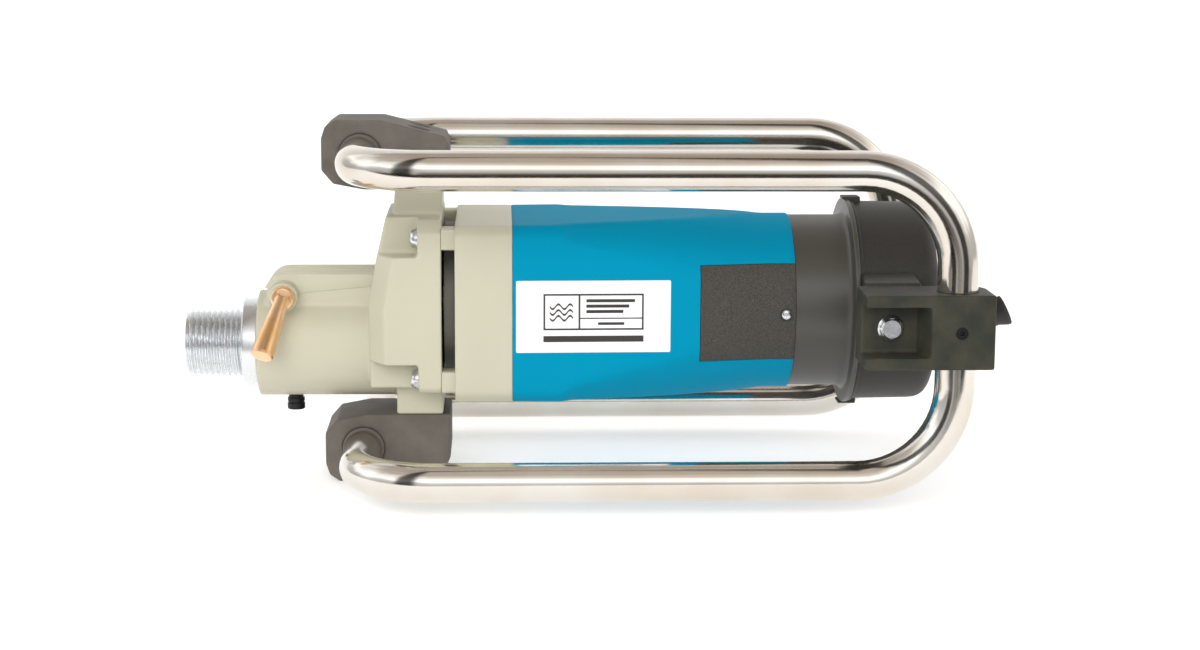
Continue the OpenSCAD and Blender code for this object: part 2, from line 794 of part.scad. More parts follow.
module rear_cap() {
    r = cap_d / 2;
    round_r = 4;
    color("#4A4742") difference() {
        union() {
            difference() {
                turned(concat(
                    [[cap_x, 44], [cap_x, flange_d / 2 - 0.6], [cap_x + 1.5, flange_d / 2 - 0.6], [cap_x + 1.5, r],
                     [cap_end_x - round_r, r - 1]],
                    [for (a = [15 : 15 : 90])
                        [cap_end_x - round_r + round_r * sin(a), r - 1 - round_r + round_r * cos(a)]],
                    [[cap_end_x, 0], [cap_end_x - 3, 0], [cap_end_x - 3, 44]]));
                xcyl(cap_x - eps, cap_end_x - 3, r - 4.5);
            }
            at_posts() along_x(cap_x, cap_end_x - 1, 6);
            for (side = [0, 1]) mirror([0, side, 0]) clamp_pad();
            for (side = [-1, 1]) translate([0, 0, motor_z]) rotate([side > 0 ? 0 : 180, 0, 0])
                box(cap_x - 3.5, cap_x + 6, -5, 5, r - 2, flange_d / 2 + 1.4);
        }
        box(cap_x - 4, cap_x, -6, 6, motor_z - flange_d / 2, motor_z + flange_d / 2);
        at_posts() {
            along_x(cap_x - eps, cap_end_x + eps, 2.2);
            along_x(cap_end_x - 4.5, cap_end_x + eps, 4.2);
        }
        for (side = [0, 1]) mirror([0, side, 0])
            ycyl(-pad_y - eps, clamp_bolt_len - clamp_floor_y + 2, 3, clamp_bolt_x, clamp_bolt_z);
        box(cap_end_x - 4, cap_end_x + eps, switch_y - 9.5, switch_y + 9.5, switch_z - 13, switch_z + 13);
        xcyl(cap_end_x - 4, cap_end_x + eps, 7, gland_z);
        for (row = [-1, 0, 1], side = [-1, 1])
            box(cap_end_x - 4, cap_end_x + eps, -13, 13,
                motor_z + side * 34 + row * 6 - 1.5, motor_z + side * 34 + row * 6 + 1.5);
    }
}

module clamp_pad() {
    translate([0, 0, clamp_mid_z - 20]) linear_extrude(40)
        polygon([[cap_x + 0.4, -44], [cap_x + 0.4, -57], [cap_x - 3.3, -pad_y], [cap_x + 25, -pad_y],
                 [cap_x + 27.5, -49], [cap_x + 27.5, -40]]);
}

module cap_screws() {
    color("silver") at_posts() difference() {
        union() {
            along_x(comm_x, cap_end_x - 4, 2);
            along_x(cap_end_x - 4.5, cap_end_x - 1.5, 3.8);
        }
        along_x(cap_end_x - 3, cap_end_x, 1.5, 6);
    }
}

module switch_body() {
    color("#222222") difference() {
        union() {
            box(cap_end_x - 16, cap_end_x, switch_y - 9.5, switch_y + 9.5, switch_z - 13, switch_z + 13);
            box(cap_end_x, cap_end_x + 1.2, switch_y - 11, switch_y + 11, switch_z - 15, switch_z + 15);
        }
        box(cap_end_x - 9, cap_end_x + 2, switch_y - 7, switch_y + 7, switch_z - 11, switch_z + 11);
        ycyl(switch_y - 9, switch_y + 9, 1.5 + run_fit, cap_end_x - 3, switch_z);
    }
}

// Rocker with two flat faces that meet in a shallow V over the pivot
module switch_rocker() {
    tilt = 8;
    color("#B0241F") translate([cap_end_x - 3, switch_y, switch_z]) {
        rotate([0, tilt, 0]) rotate([90, 0, 0]) translate([0, 0, -6.7]) linear_extrude(13.4)
            polygon([[-2, -8], [-2, 8], [4.5, 9.6], [3, 0], [4.5, -9.6]]);
        rotate([90, 0, 0]) translate([0, 0, -8.7]) cylinder(h = 17.4, r = 1.5, $fn = small);
    }
}

module cord_gland() {
    sleeve_end_x = cap_end_x + 21;
    color("#2C2B2A") difference() {
        union() {
            xcyl(cap_end_x - 6, cap_end_x, 7, gland_z);
            xcyl(cap_end_x, cap_end_x + 5, 10, gland_z);
            xcyl(cap_end_x + 5, sleeve_end_x, 6.2, gland_z);
            translate([sleeve_end_x, 0, gland_z]) {
                sphere(r = 6.2, $fn = small);
                rotate([0, 90 - gland_tilt, 0]) {
                    cylinder(h = gland_bell_len - 5, r = 6.2, $fn = small);
                    translate([0, 0, gland_bell_len - 5]) cylinder(h = 5, r1 = 6.2, r2 = 8.2, $fn = small);
                    translate([0, 0, gland_bell_len]) cylinder(h = 1.5, r = 8.2, $fn = small);
                }
            }
        }
        xcyl(cap_end_x - 7, sleeve_end_x + 1, 3.6, gland_z);
        translate([sleeve_end_x, 0, gland_z]) rotate([0, 90 - gland_tilt, 0])
            translate([0, 0, -1]) cylinder(h = gland_bell_len + 4, r = 3.6, $fn = small);
    }
}

module name_label() {
    label_x = housing_x + 1.8;
    thick = 0.3;
    color("white") translate([housing_x, -ring_half, 0]) rotate([0, 0, side_taper])
        box(label_x - housing_x, label_x - housing_x + 79.4, -thick, 0, frame_z - 21.3, frame_z + 16);
}

// ---- tube frame ----

// Half of one loop from the middle plane at the cross tube to the middle of the rear upright, all to one side
module half_loop(r) {
    rear_start_x = rear_tube_x - rear_bend_r;
    front_end_x = cross_tube_x + front_bend_r;
    side_y = tube_half_width - front_bend_r;
    translate([cross_tube_x, 0, top_tube_z]) {
        rotate([90, 0, 0]) cylinder(h = side_y, r = r, $fn = small);
        translate([front_bend_r, -side_y, 0]) rotate([0, 0, 180]) rotate_extrude(angle = 90, $fn = fine)
            translate([front_bend_r, 0]) circle(r = r, $fn = small);
    }
    translate([front_end_x, -tube_half_width, top_tube_z]) rotate([0, 90, 0])
        cylinder(h = rear_start_x - front_end_x, r = r, $fn = small);
    translate([rear_start_x, -tube_half_width, top_tube_z - rear_bend_r]) rotate([90, 0, 0])
        rotate_extrude(angle = 90, $fn = fine) translate([rear_bend_r, 0]) circle(r = r, $fn = small);
    translate([rear_tube_x, -tube_half_width, frame_z]) cylinder(h = tube_half_height - rear_bend_r, r = r, $fn = small);
}

module loop(r) {
    half_loop(r);
    translate([0, 0, 2 * frame_z]) mirror([0, 0, 1]) half_loop(r);
}

module handle_tube(side) {
    color("#D8D8D8") mirror([0, side > 0 ? 1 : 0, 0]) difference() {
        loop(tube_r);
        loop(tube_r - tube_wall);
    }
}

module handle_tube_left() { handle_tube(-1); }

module handle_tube_right() { handle_tube(1); }

// Outer corners are measured inwards from the frame's limit, inner corners outwards from the lug
function bracket_outline(up) = let (outer = tube_half_height + bracket_over) [for (p = [
    [-13, outer], [11, outer], [44, outer - 8.3], [46, outer - 13], [46, lug_half], [2, lug_half],
    [-14, lug_half + 3], [-20, lug_half + 10], [-20, outer - 9.5], [-18, outer - 3.5]])
    [cross_tube_x + p[0], frame_z + up * p[1]]];

module bracket_bolt_places() {
    for (sy = [-1, 1]) translate([slot_x - 12, sy * 10, lug_z - bolt_grip]) children();
    for (sy = [-1, 1]) translate([slot_x - 12, sy * 10, 2 * frame_z - lug_z + bolt_grip]) mirror([0, 0, 1]) children();
}

module bracket(up) {
    color("#6B655F") difference() {
        side_plate(bracket_outline(up), bracket_w / 2);
        ycyl(-bracket_w, bracket_w, tube_r, cross_tube_x, frame_z + up * tube_half_height);
        for (side = [-1, 1]) bush_ring(side, up);
        bracket_bolt_places() {
            zcyl(0, bolt_seat + 22, 3.3, 0, 0);
            zcyl(bolt_seat, bolt_seat + 22, 5.4, 0, 0);
        }
    }
}

module top_bracket() { bracket(1); }

module bottom_bracket() { bracket(-1); }

module bracket_bolts() {
    color("#2A2A2C") bracket_bolt_places() difference() {
        union() {
            zcyl(2, bolt_seat, 3, 0, 0);
            zcyl(bolt_seat, bolt_seat + 6, 5, 0, 0);
        }
        zcyl(bolt_seat + 3, bolt_seat + 7, 2.5, 0, 0, 6);
    }
}

module bush_ring(side, up) {
    y0 = side > 0 ? bracket_w / 2 - 6 : -bracket_w / 2 - 0.4;
    ycyl(y0, y0 + 6.4, tube_r + bush_wall, cross_tube_x, frame_z + up * tube_half_height);
}

module tube_bushes() {
    color("#8D8880") for (side = [-1, 1], up = [-1, 1]) difference() {
        bush_ring(side, up);
        ycyl(-bracket_w, bracket_w, tube_r, cross_tube_x, frame_z + up * tube_half_height);
    }
}

// Rear clamp: a block round the upright tube with an open-ended channel for the bolt to the rear cap
module clamp(side) {
    z0 = clamp_mid_z - clamp_h / 2;
    z1 = clamp_mid_z + clamp_h / 2;
    corner_r = 10;
    color("#3F4038") mirror([0, side > 0 ? 1 : 0, 0]) difference() {
        union() {
            box(clamp_x0, clamp_x1, -clamp_out_y, -pad_y - corner_r, z0, z1);
            box(clamp_x0, clamp_x1 - corner_r, -pad_y - corner_r - 1, -pad_y, z0, z1);
            zcyl(z0, z1, corner_r, clamp_x1 - corner_r, -pad_y - corner_r);
        }
        translate([0, 0, clamp_mid_z - channel_half]) linear_extrude(2 * channel_half)
            polygon([[clamp_x0 - 1, -clamp_out_y - 1], [channel_x1, -clamp_out_y - 1],
                     [channel_x1 - 5, -clamp_floor_y], [clamp_x0 - 1, -clamp_floor_y]]);
        zcyl(z0 - 1, z1 + 1, tube_r, rear_tube_x, -tube_half_width);
        ycyl(-clamp_floor_y - 1, -pad_y + 1, 3.3, clamp_bolt_x, clamp_bolt_z);
        ycyl(-clamp_out_y - 1, -tube_half_width, 3, rear_tube_x, clamp_bolt_z);
    }
}

module clamp_left() { clamp(-1); }

module clamp_right() { clamp(1); }

module clamp_bolts() {
    color("silver") for (side = [0, 1]) mirror([0, side, 0])
        translate([clamp_bolt_x, -clamp_floor_y, clamp_bolt_z]) rotate([90, 0, 0]) {
            translate([0, 0, -clamp_bolt_len]) cylinder(h = clamp_bolt_len + 1, r = 3, $fn = small);
            cylinder(h = 1.2, r = 7, $fn = small);
            difference() {
                cylinder(h = 6.2, r = 10 / sqrt(3), $fn = 6);
                translate([0, 0, 5.6]) cylinder(h = 1, r = 3.4, $fn = small);
            }
        }
}

module clamp_grub_screws() {
    color("#1E1E20") for (side = [0, 1]) mirror([0, side, 0]) difference() {
        ycyl(-clamp_out_y + 1.5, -tube_half_width - tube_r, 3, rear_tube_x, clamp_bolt_z);
        ycyl(-clamp_out_y + 1, -clamp_out_y + 3, 1.5, rear_tube_x, clamp_bolt_z, 6);
    }
}

gearcase();
gear_cover();
gear_cover_screws();
fan_housing();
fan_baffle();
gearcase_screws();
motor_housing();
rear_housing();
rear_cap();
cap_screws();
name_label();
brush_cover_left();
brush_cover_right();
brush_cover_screws();
brush_holder_left();
brush_holder_right();
carbon_brush_left();
carbon_brush_right();
stator_core();
field_coils();
armature_shaft();
armature_core();
armature_windings();
commutator();
cooling_fan();
motor_pinion();
armature_bearing_front();
armature_bearing_rear();
output_spindle();
driven_gear();
spindle_bearing_front();
spindle_bearing_rear();
spindle_seal();
thread_connector();
connector_set_screw();
lock_lever();
lever_clip();
lock_plunger();
top_bracket();
bottom_bracket();
bracket_bolts();
tube_bushes();
handle_tube_left();
handle_tube_right();
clamp_left();
clamp_right();
clamp_bolts();
clamp_grub_screws();
switch_body();
switch_rocker();
cord_gland();
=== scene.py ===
"""Looks of a concrete vibrator's drive unit, built round its CAD frame."""

import json
import math

import bmesh
import bpy
from bpy.props import FloatProperty, FloatVectorProperty, PointerProperty
from mathutils import Matrix, Vector


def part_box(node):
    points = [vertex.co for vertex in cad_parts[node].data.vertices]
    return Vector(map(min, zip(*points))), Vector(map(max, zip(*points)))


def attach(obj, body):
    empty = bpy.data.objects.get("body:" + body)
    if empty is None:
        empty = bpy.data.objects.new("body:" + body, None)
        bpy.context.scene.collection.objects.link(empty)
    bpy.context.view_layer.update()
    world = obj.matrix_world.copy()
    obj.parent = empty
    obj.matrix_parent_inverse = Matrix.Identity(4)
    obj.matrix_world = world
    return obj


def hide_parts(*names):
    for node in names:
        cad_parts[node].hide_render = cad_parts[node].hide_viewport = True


bl_info = {
    "name": "Concrete Vibrator Drive Unit",
    "version": (1, 0, 0),
    "blender": (4, 5, 0),
    "location": "3D View > Sidebar > Vibrator",
    "description": "Builds the visible pieces and finishes of a concrete vibrator's drive unit",
    "category": "Object",
}

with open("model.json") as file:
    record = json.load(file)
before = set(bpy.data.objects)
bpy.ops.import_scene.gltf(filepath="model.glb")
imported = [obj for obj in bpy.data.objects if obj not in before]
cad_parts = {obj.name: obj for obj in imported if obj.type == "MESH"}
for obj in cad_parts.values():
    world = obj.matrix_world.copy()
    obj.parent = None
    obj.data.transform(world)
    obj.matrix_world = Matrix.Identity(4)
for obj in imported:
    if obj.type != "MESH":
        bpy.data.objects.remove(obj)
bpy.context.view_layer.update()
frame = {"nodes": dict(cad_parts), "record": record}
NODES = frame["nodes"]
MM = 0.001


def low(node, axis):
    """Lowest place of a CAD node along an axis, in millimetres."""
    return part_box(node)[0][axis] / MM


def high(node, axis):
    """Highest place of a CAD node along an axis, in millimetres."""
    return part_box(node)[1][axis] / MM


def middle(node, axis):
    """Middle of a CAD node along an axis, in millimetres."""
    return (low(node, axis) + high(node, axis)) / 2


X, Y, Z = 0, 1, 2
THREAD_X = low("thread_connector", X)
NOSE_X = low("gearcase", X)
SLOT_X = high("gearcase", X)
RING_X = SLOT_X + 6.9
HOUSING_X = low("motor_housing", X)
REAR_X = high("motor_housing", X)
CAP_X = high("rear_housing", X)
CAP_END_X = high("switch_body", X) - 1.2
MOTOR_Z = middle("stator_core", Z)
SPINDLE_Z = middle("thread_connector", Z)
FRAME_Z = middle("handle_tube_left", Z)
TUBE_R = 10.0
TUBE_HALF_W = -low("handle_tube_left", Y) - TUBE_R
TUBE_HALF_H = (high("handle_tube_left", Z) - low("handle_tube_left", Z)) / 2 - TUBE_R
CROSS_X = low("handle_tube_left", X) + TUBE_R
UPRIGHT_X = high("handle_tube_left", X) - TUBE_R
LEVER_X = middle("lock_plunger", X)
LEVER_Z = middle("lever_clip", Z) + 0.1
BOSS_Y = -28.0
FLANGE_R = high("rear_housing", Y)
CASE_Z = FRAME_Z - 0.5
GLAND_Z = MOTOR_Z - 16.5
COVER_SCREW_X = REAR_X - 4.9
COVER_SCREW_Z = MOTOR_Z - 0.7
AXIS_R = 0.01
CORNERS = [(sy, sz) for sy in (-1, 1) for sz in (-1, 1)]
FINISHES = {}


# ---- sizes and colours that a user would change ----


def colour(name, text, value):
    return FloatVectorProperty(name=name, description=text, default=value,
                               subtype="COLOR", size=3, min=0, max=1)


def length(name, text, value):
    return FloatProperty(name=name, description=text, default=value, unit="LENGTH", min=0)


class CastingLook(bpy.types.PropertyGroup):
    cream: colour("Casting paint", "Paint of the gearcase and fan housing", (0.52, 0.50, 0.385))
    bracket: colour("Bracket paint", "Paint of the two frame brackets", (0.105, 0.093, 0.08))
    edge: length("Cast edge", "Grid size that rounds the edges of the castings", 0.92 * MM)


class HousingLook(bpy.types.PropertyGroup):
    blue: colour("Housing plastic", "Colour of the motor housing", (0.0, 0.252, 0.415))
    dark: colour("Dark plastic", "Colour of the rear housing, cap and brush covers", (0.040, 0.037, 0.032))
    clamp: colour("Clamp plastic", "Colour of the rear clamps", (0.030, 0.033, 0.026))
    corner: FloatProperty(name="Corner radius", default=65.0, min=55, max=70,
                          description="Radius that cuts the corners of the front end, in mm")


class MetalLook(bpy.types.PropertyGroup):
    chrome: colour("Chrome", "Tint of the chromed tubes", (0.74, 0.71, 0.66))
    zinc: colour("Zinc", "Tint of the zinc plated steel", (0.78, 0.80, 0.82))
    lever: colour("Lever", "Tint of the yellow passivated lever", (0.92, 0.56, 0.26))
    pitch: length("Thread pitch", "Pitch of the output thread", 3 * MM)


class StageLook(bpy.types.PropertyGroup):
    floor: colour("Floor", "Colour of the floor and backdrop", (0.94, 0.94, 0.94))
    distance: length("Camera distance", "From the aim point to the camera", 1.1985)
    azimuth: FloatProperty(name="Azimuth", description="Turn of the camera about the unit",
                           default=math.radians(-2.59), unit="ROTATION")
    elevation: FloatProperty(name="Elevation", description="Height angle of the camera",
                             default=math.radians(9.88), unit="ROTATION")


# ---- mesh helpers; lengths are in millimetres until mesh_of ----


def mesh_of(name, points, faces):
    mesh = bpy.data.meshes.new(name)
    mesh.from_pydata([Vector(p) * MM for p in points], [], faces)
    mesh.update()
    return mesh


def add_object(name, mesh):
    piece = bpy.data.objects.new(name, mesh)
    bpy.context.scene.collection.objects.link(piece)
    return piece


def face_outwards(mesh):
    work = bmesh.new()
    work.from_mesh(mesh)
    bmesh.ops.remove_doubles(work, verts=work.verts, dist=0.001 * MM)
    bmesh.ops.recalc_face_normals(work, faces=work.faces)
    work.to_mesh(mesh)
    work.free()


def skin_faces(count, sides, closed):
    """Faces between rings of points that follow one another."""
    faces = []
    for row in range(count if closed else count - 1):
        for side in range(sides):
            a, b, c = row * sides, (row + 1) % count * sides, (side + 1) % sides
            faces.append((a + side, a + c, b + c, b + side))
    return faces


def skin_of(name, points, faces):
    """A mesh whose faces all look outwards."""
    mesh = mesh_of(name, points, faces)
    face_outwards(mesh)
    return mesh


def smooth(mesh, angle=35):
    mesh.shade_smooth()
    mesh.set_sharp_from_angle(angle=math.radians(angle))


def shown_mesh(piece):
    """A new mesh of a piece with its modifiers."""
    ready = piece.evaluated_get(bpy.context.evaluated_depsgraph_get())
    return bpy.data.meshes.new_from_object(ready)


def bake(piece):
    """Turns a piece and its modifiers into a plain mesh."""
    mesh = shown_mesh(piece)
    piece.modifiers.clear()
    piece.data = mesh
    return piece


def finish_piece(piece, look, body, slot, *replaced):
    """Gives a piece its finish, its body and the CAD nodes that it stands for."""
    piece.data.materials.clear()
    piece.data.materials.append(FINISHES[look])
    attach(piece, body)
    if replaced:
        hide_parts(*replaced)
    return piece


def fillet(points, radius, steps=4):
    """Rounds the corners of an open outline of (a, b) or (a, b, radius) points."""
    result = [points[0][:2]]
    for before, here, after in zip(points, points[1:], points[2:]):
        r = here[2] if len(here) > 2 else radius
        p0, p1, p2 = Vector(before[:2]), Vector(here[:2]), Vector(after[:2])
        back, ahead = p0 - p1, p2 - p1
        if r <= 0 or back.length < 1e-6 or ahead.length < 1e-6:
            result.append(tuple(p1))
            continue
        half = back.angle(ahead) / 2
        if half > math.radians(86):
            result.append(tuple(p1))
            continue
        reach = min(r / math.tan(half), back.length * 0.49, ahead.length * 0.49)
        start, end = p1 + back.normalized() * reach, p1 + ahead.normalized() * reach
        for step in range(steps + 1):
            t = step / steps
            result.append(tuple((1 - t) ** 2 * start + 2 * t * (1 - t) * p1 + t * t * end))
    result.append(points[-1][:2])
    return result


def round_loop(points, radius, steps=4):
    """Rounds every corner of a closed outline."""
    closed = [points[-1], *points, points[0]]
    return fillet(closed, radius, steps)[1:-1]


def turned(name, profile, z, sides, closed=False):
    """A profile of (x, r) points turned about the X axis at height z; closed profiles make rings."""
    points = []
    for x, r in profile:
        r = max(r, AXIS_R)
        for side in range(sides):
            turn = 2 * math.pi * side / sides
            points.append((x, r * math.cos(turn), z + r * math.sin(turn)))
    faces = skin_faces(len(profile), sides, closed)
    if not closed:
        faces += [tuple(range(sides)), tuple(range(len(points) - sides, len(points)))]
    return skin_of(name, points, faces)


def prism(name, outline, axis, start, end):
    """An outline extruded along an axis; its two coordinates are the other two axes in order."""
    count = len(outline)
    points = []
    for place in (start, end):
        for a, b in outline:
            points.append({X: (place, a, b), Y: (a, place, b), Z: (a, b, place)}[axis])
    faces = [(i, (i + 1) % count, count + (i + 1) % count, count + i) for i in range(count)]
    faces += [tuple(range(count)), tuple(range(count, 2 * count))]
    return skin_of(name, points, faces)


def hexagon(radius, x=0.0):
    """Corners of a hexagon round (x, 0)."""
    turns = [math.radians(60 * i) for i in range(6)]
    return [(x + radius * math.cos(turn), radius * math.sin(turn)) for turn in turns]


def rectangle(a, b):
    """Corners of a rectangle from two (start, end) pairs."""
    return [(a[0], b[0]), (a[1], b[0]), (a[1], b[1]), (a[0], b[1])]


def block(name, x, y, z):
    """A box from three (start, end) pairs."""
    return prism(name, rectangle(y, z), X, *x)


def aim(mesh, start, direction):
    """Moves a mesh turned about X so that its axis runs from start along direction."""
    turn = Vector(direction).to_track_quat("X", "Z").to_matrix().to_4x4()
    mesh.transform(Matrix.Translation(Vector(start) * MM) @ turn)
    return mesh


def joined(name, *meshes):
    """One object that holds several meshes."""
    work = bmesh.new()
    for mesh in meshes:
        work.from_mesh(mesh)
    result = bpy.data.meshes.new(name)
    work.to_mesh(result)
    work.free()
    return add_object(name, result)


def with_boolean(piece, mesh, operation):
    tool = add_object("tool", mesh)
    step = piece.modifiers.new("Boolean", "BOOLEAN")
    step.operation, step.object, step.solver = operation, tool, "EXACT"
    bake(piece)
    bpy.data.objects.remove(tool)
    return piece


def cut(piece, *meshes):
    for mesh in meshes:
        with_boolean(piece, mesh, "DIFFERENCE")
    return piece


def fuse(piece, *meshes):
    for mesh in meshes:
        with_boolean(piece, mesh, "UNION")
    return piece


def taken(piece):
    """The mesh of a helper object, whose object is removed."""
    mesh = piece.data
    bpy.data.objects.remove(piece)
    return mesh


def bevel(piece, width, angle=40):
    step = piece.modifiers.new("Bevel", "BEVEL")
    step.width, step.segments = width * MM, 2
    step.limit_method, step.angle_limit = "ANGLE", math.radians(angle)
    bake(piece)
    smooth(piece.data)
    return piece


def mould(piece, grid, rounds):
    """Merges a piece's solids into one skin with softly rounded edges, as a casting or moulding has."""
    step = piece.modifiers.new("Remesh", "REMESH")
    step.mode, step.voxel_size, step.use_smooth_shade = "VOXEL", grid * MM, True
    ease = piece.modifiers.new("Smooth", "SMOOTH")
    ease.factor, ease.iterations = 0.5, rounds
    bake(piece)
    piece.data.shade_smooth()
    return piece


def copy_of(node):
    """A merged copy of a CAD node."""
    mesh = NODES[node].data.copy()
    face_outwards(mesh)
    return mesh


# ---- geometry node helpers ----


def new_tree(name, sockets):
    tree = bpy.data.node_groups.new(name, "GeometryNodeTree")
    tree.interface.new_socket("Geometry", in_out="INPUT", socket_type="NodeSocketGeometry")
    for label, kind in sockets:
        tree.interface.new_socket(label, in_out="INPUT", socket_type=kind)
    tree.interface.new_socket("Geometry", in_out="OUTPUT", socket_type="NodeSocketGeometry")
    start, end = tree.nodes.new("NodeGroupInput"), tree.nodes.new("NodeGroupOutput")
    return tree, start.outputs, end.inputs


def close_tree(tree, geometry, material, end):
    """Ends a tree in Realize Instances and Set Material."""
    realize = tree.nodes.new("GeometryNodeRealizeInstances")
    paint = tree.nodes.new("GeometryNodeSetMaterial")
    tree.links.new(geometry, realize.inputs["Geometry"])
    tree.links.new(realize.outputs["Geometry"], paint.inputs["Geometry"])
    tree.links.new(material, paint.inputs["Material"])
    tree.links.new(paint.outputs["Geometry"], end["Geometry"])


def add_tree(piece, tree, values):
    """Gives a piece a tree as its modifier, with the tree's inputs set by identifier."""
    step = piece.modifiers.new(tree.name, "NODES")
    step.node_group = tree
    for item in tree.interface.items_tree:
        if item.in_out == "INPUT" and item.name in values:
            step[item.identifier] = values[item.name]


def repeat_tree():
    """Puts a copy of one object on every point, turned by a rotation stored on the points."""
    tree, given, end = new_tree("Repeat on Points",
                                [("Piece", "NodeSocketObject"), ("Material", "NodeSocketMaterial")])
    info = tree.nodes.new("GeometryNodeObjectInfo")
    place = tree.nodes.new("GeometryNodeInstanceOnPoints")
    turn = tree.nodes.new("GeometryNodeInputNamedAttribute")
    turn.data_type = "FLOAT_VECTOR"
    turn.inputs["Name"].default_value = "turn"
    tree.links.new(given["Piece"], info.inputs["Object"])
    tree.links.new(given["Geometry"], place.inputs["Points"])
    tree.links.new(info.outputs["Geometry"], place.inputs["Instance"])
    tree.links.new(turn.outputs["Attribute"], place.inputs["Rotation"])
    close_tree(tree, place.outputs["Instances"], given["Material"], end)
    return tree


def tube_tree():
    """Sweeps a round tube of a given radius along a curve."""
    tree, given, end = new_tree("Bent Tube", [("Radius", "NodeSocketFloat"), ("Sides", "NodeSocketInt"),
                                              ("Material", "NodeSocketMaterial")])
    circle = tree.nodes.new("GeometryNodeCurvePrimitiveCircle")
    sweep = tree.nodes.new("GeometryNodeCurveToMesh")
    tree.links.new(given["Radius"], circle.inputs["Radius"])
    tree.links.new(given["Sides"], circle.inputs["Resolution"])
    tree.links.new(given["Geometry"], sweep.inputs["Curve"])
    tree.links.new(circle.outputs["Curve"], sweep.inputs["Profile Curve"])
    close_tree(tree, sweep.outputs["Mesh"], given["Material"], end)
    return tree


def repeated(name, mesh, places, look):
    """Copies of a mesh at places, a list of (position in mm, rotation) pairs, as one plain piece."""
    source = add_object("source", mesh)
    points = add_object(name, mesh_of(name, [p for p, _ in places], []))
    turn = points.data.attributes.new("turn", "FLOAT_VECTOR", "POINT")
    for item, (_, rotation) in zip(turn.data, places):
        item.vector = rotation
    add_tree(points, repeat_tree(), {"Piece": source, "Material": FINISHES[look]})
    bake(points)
    bpy.data.objects.remove(source)
    face_outwards(points.data)
    smooth(points.data)
    return points


# ---- materials ----


def finish(name, base, roughness, metallic=0.0, gloss=0.5, grain=None, mottle=None, rough_spread=0.0):
    """A finish; grain is a (scale, depth in mm, strength) bump, mottle a (scale, second colour) mix."""
    material = bpy.data.materials.new(name)
    material.use_nodes = True
    nodes, links = material.node_tree.nodes, material.node_tree.links
    shader = nodes["Principled BSDF"]
    shader.inputs["Base Color"].default_value = (*base, 1)
    shader.inputs["Roughness"].default_value = roughness
    shader.inputs["Metallic"].default_value = metallic
    shader.inputs["Specular IOR Level"].default_value = gloss
    place = nodes.new("ShaderNodeTexCoord").outputs["Object"]

    def noise(scale, detail):
        node = nodes.new("ShaderNodeTexNoise")
        node.inputs["Scale"].default_value = scale
        node.inputs["Detail"].default_value = detail
        links.new(place, node.inputs["Vector"])
        return node.outputs["Fac"]

    if mottle:
        scale, second = mottle
        ramp = nodes.new("ShaderNodeValToRGB")
        ramp.color_ramp.elements[0].position, ramp.color_ramp.elements[1].position = 0.38, 0.66
        ramp.color_ramp.elements[0].color, ramp.color_ramp.elements[1].color = (*base, 1), (*second, 1)
        links.new(noise(scale, 4), ramp.inputs["Fac"])
        links.new(ramp.outputs["Color"], shader.inputs["Base Color"])
    if rough_spread:
        spread = nodes.new("ShaderNodeMapRange")
        spread.inputs["To Min"].default_value = roughness - rough_spread
        spread.inputs["To Max"].default_value = roughness + rough_spread
        links.new(noise(120, 3), spread.inputs["Value"])
        links.new(spread.outputs["Result"], shader.inputs["Roughness"])
    if grain:
        scale, depth, strength = grain
        bump = nodes.new("ShaderNodeBump")
        bump.inputs["Distance"].default_value = depth * MM
        bump.inputs["Strength"].default_value = strength
        links.new(noise(scale, 2), bump.inputs["Height"])
        links.new(bump.outputs["Normal"], shader.inputs["Normal"])
    FINISHES[name] = material
    return material


def shaded(base, factor):
    return tuple(c * factor for c in base)


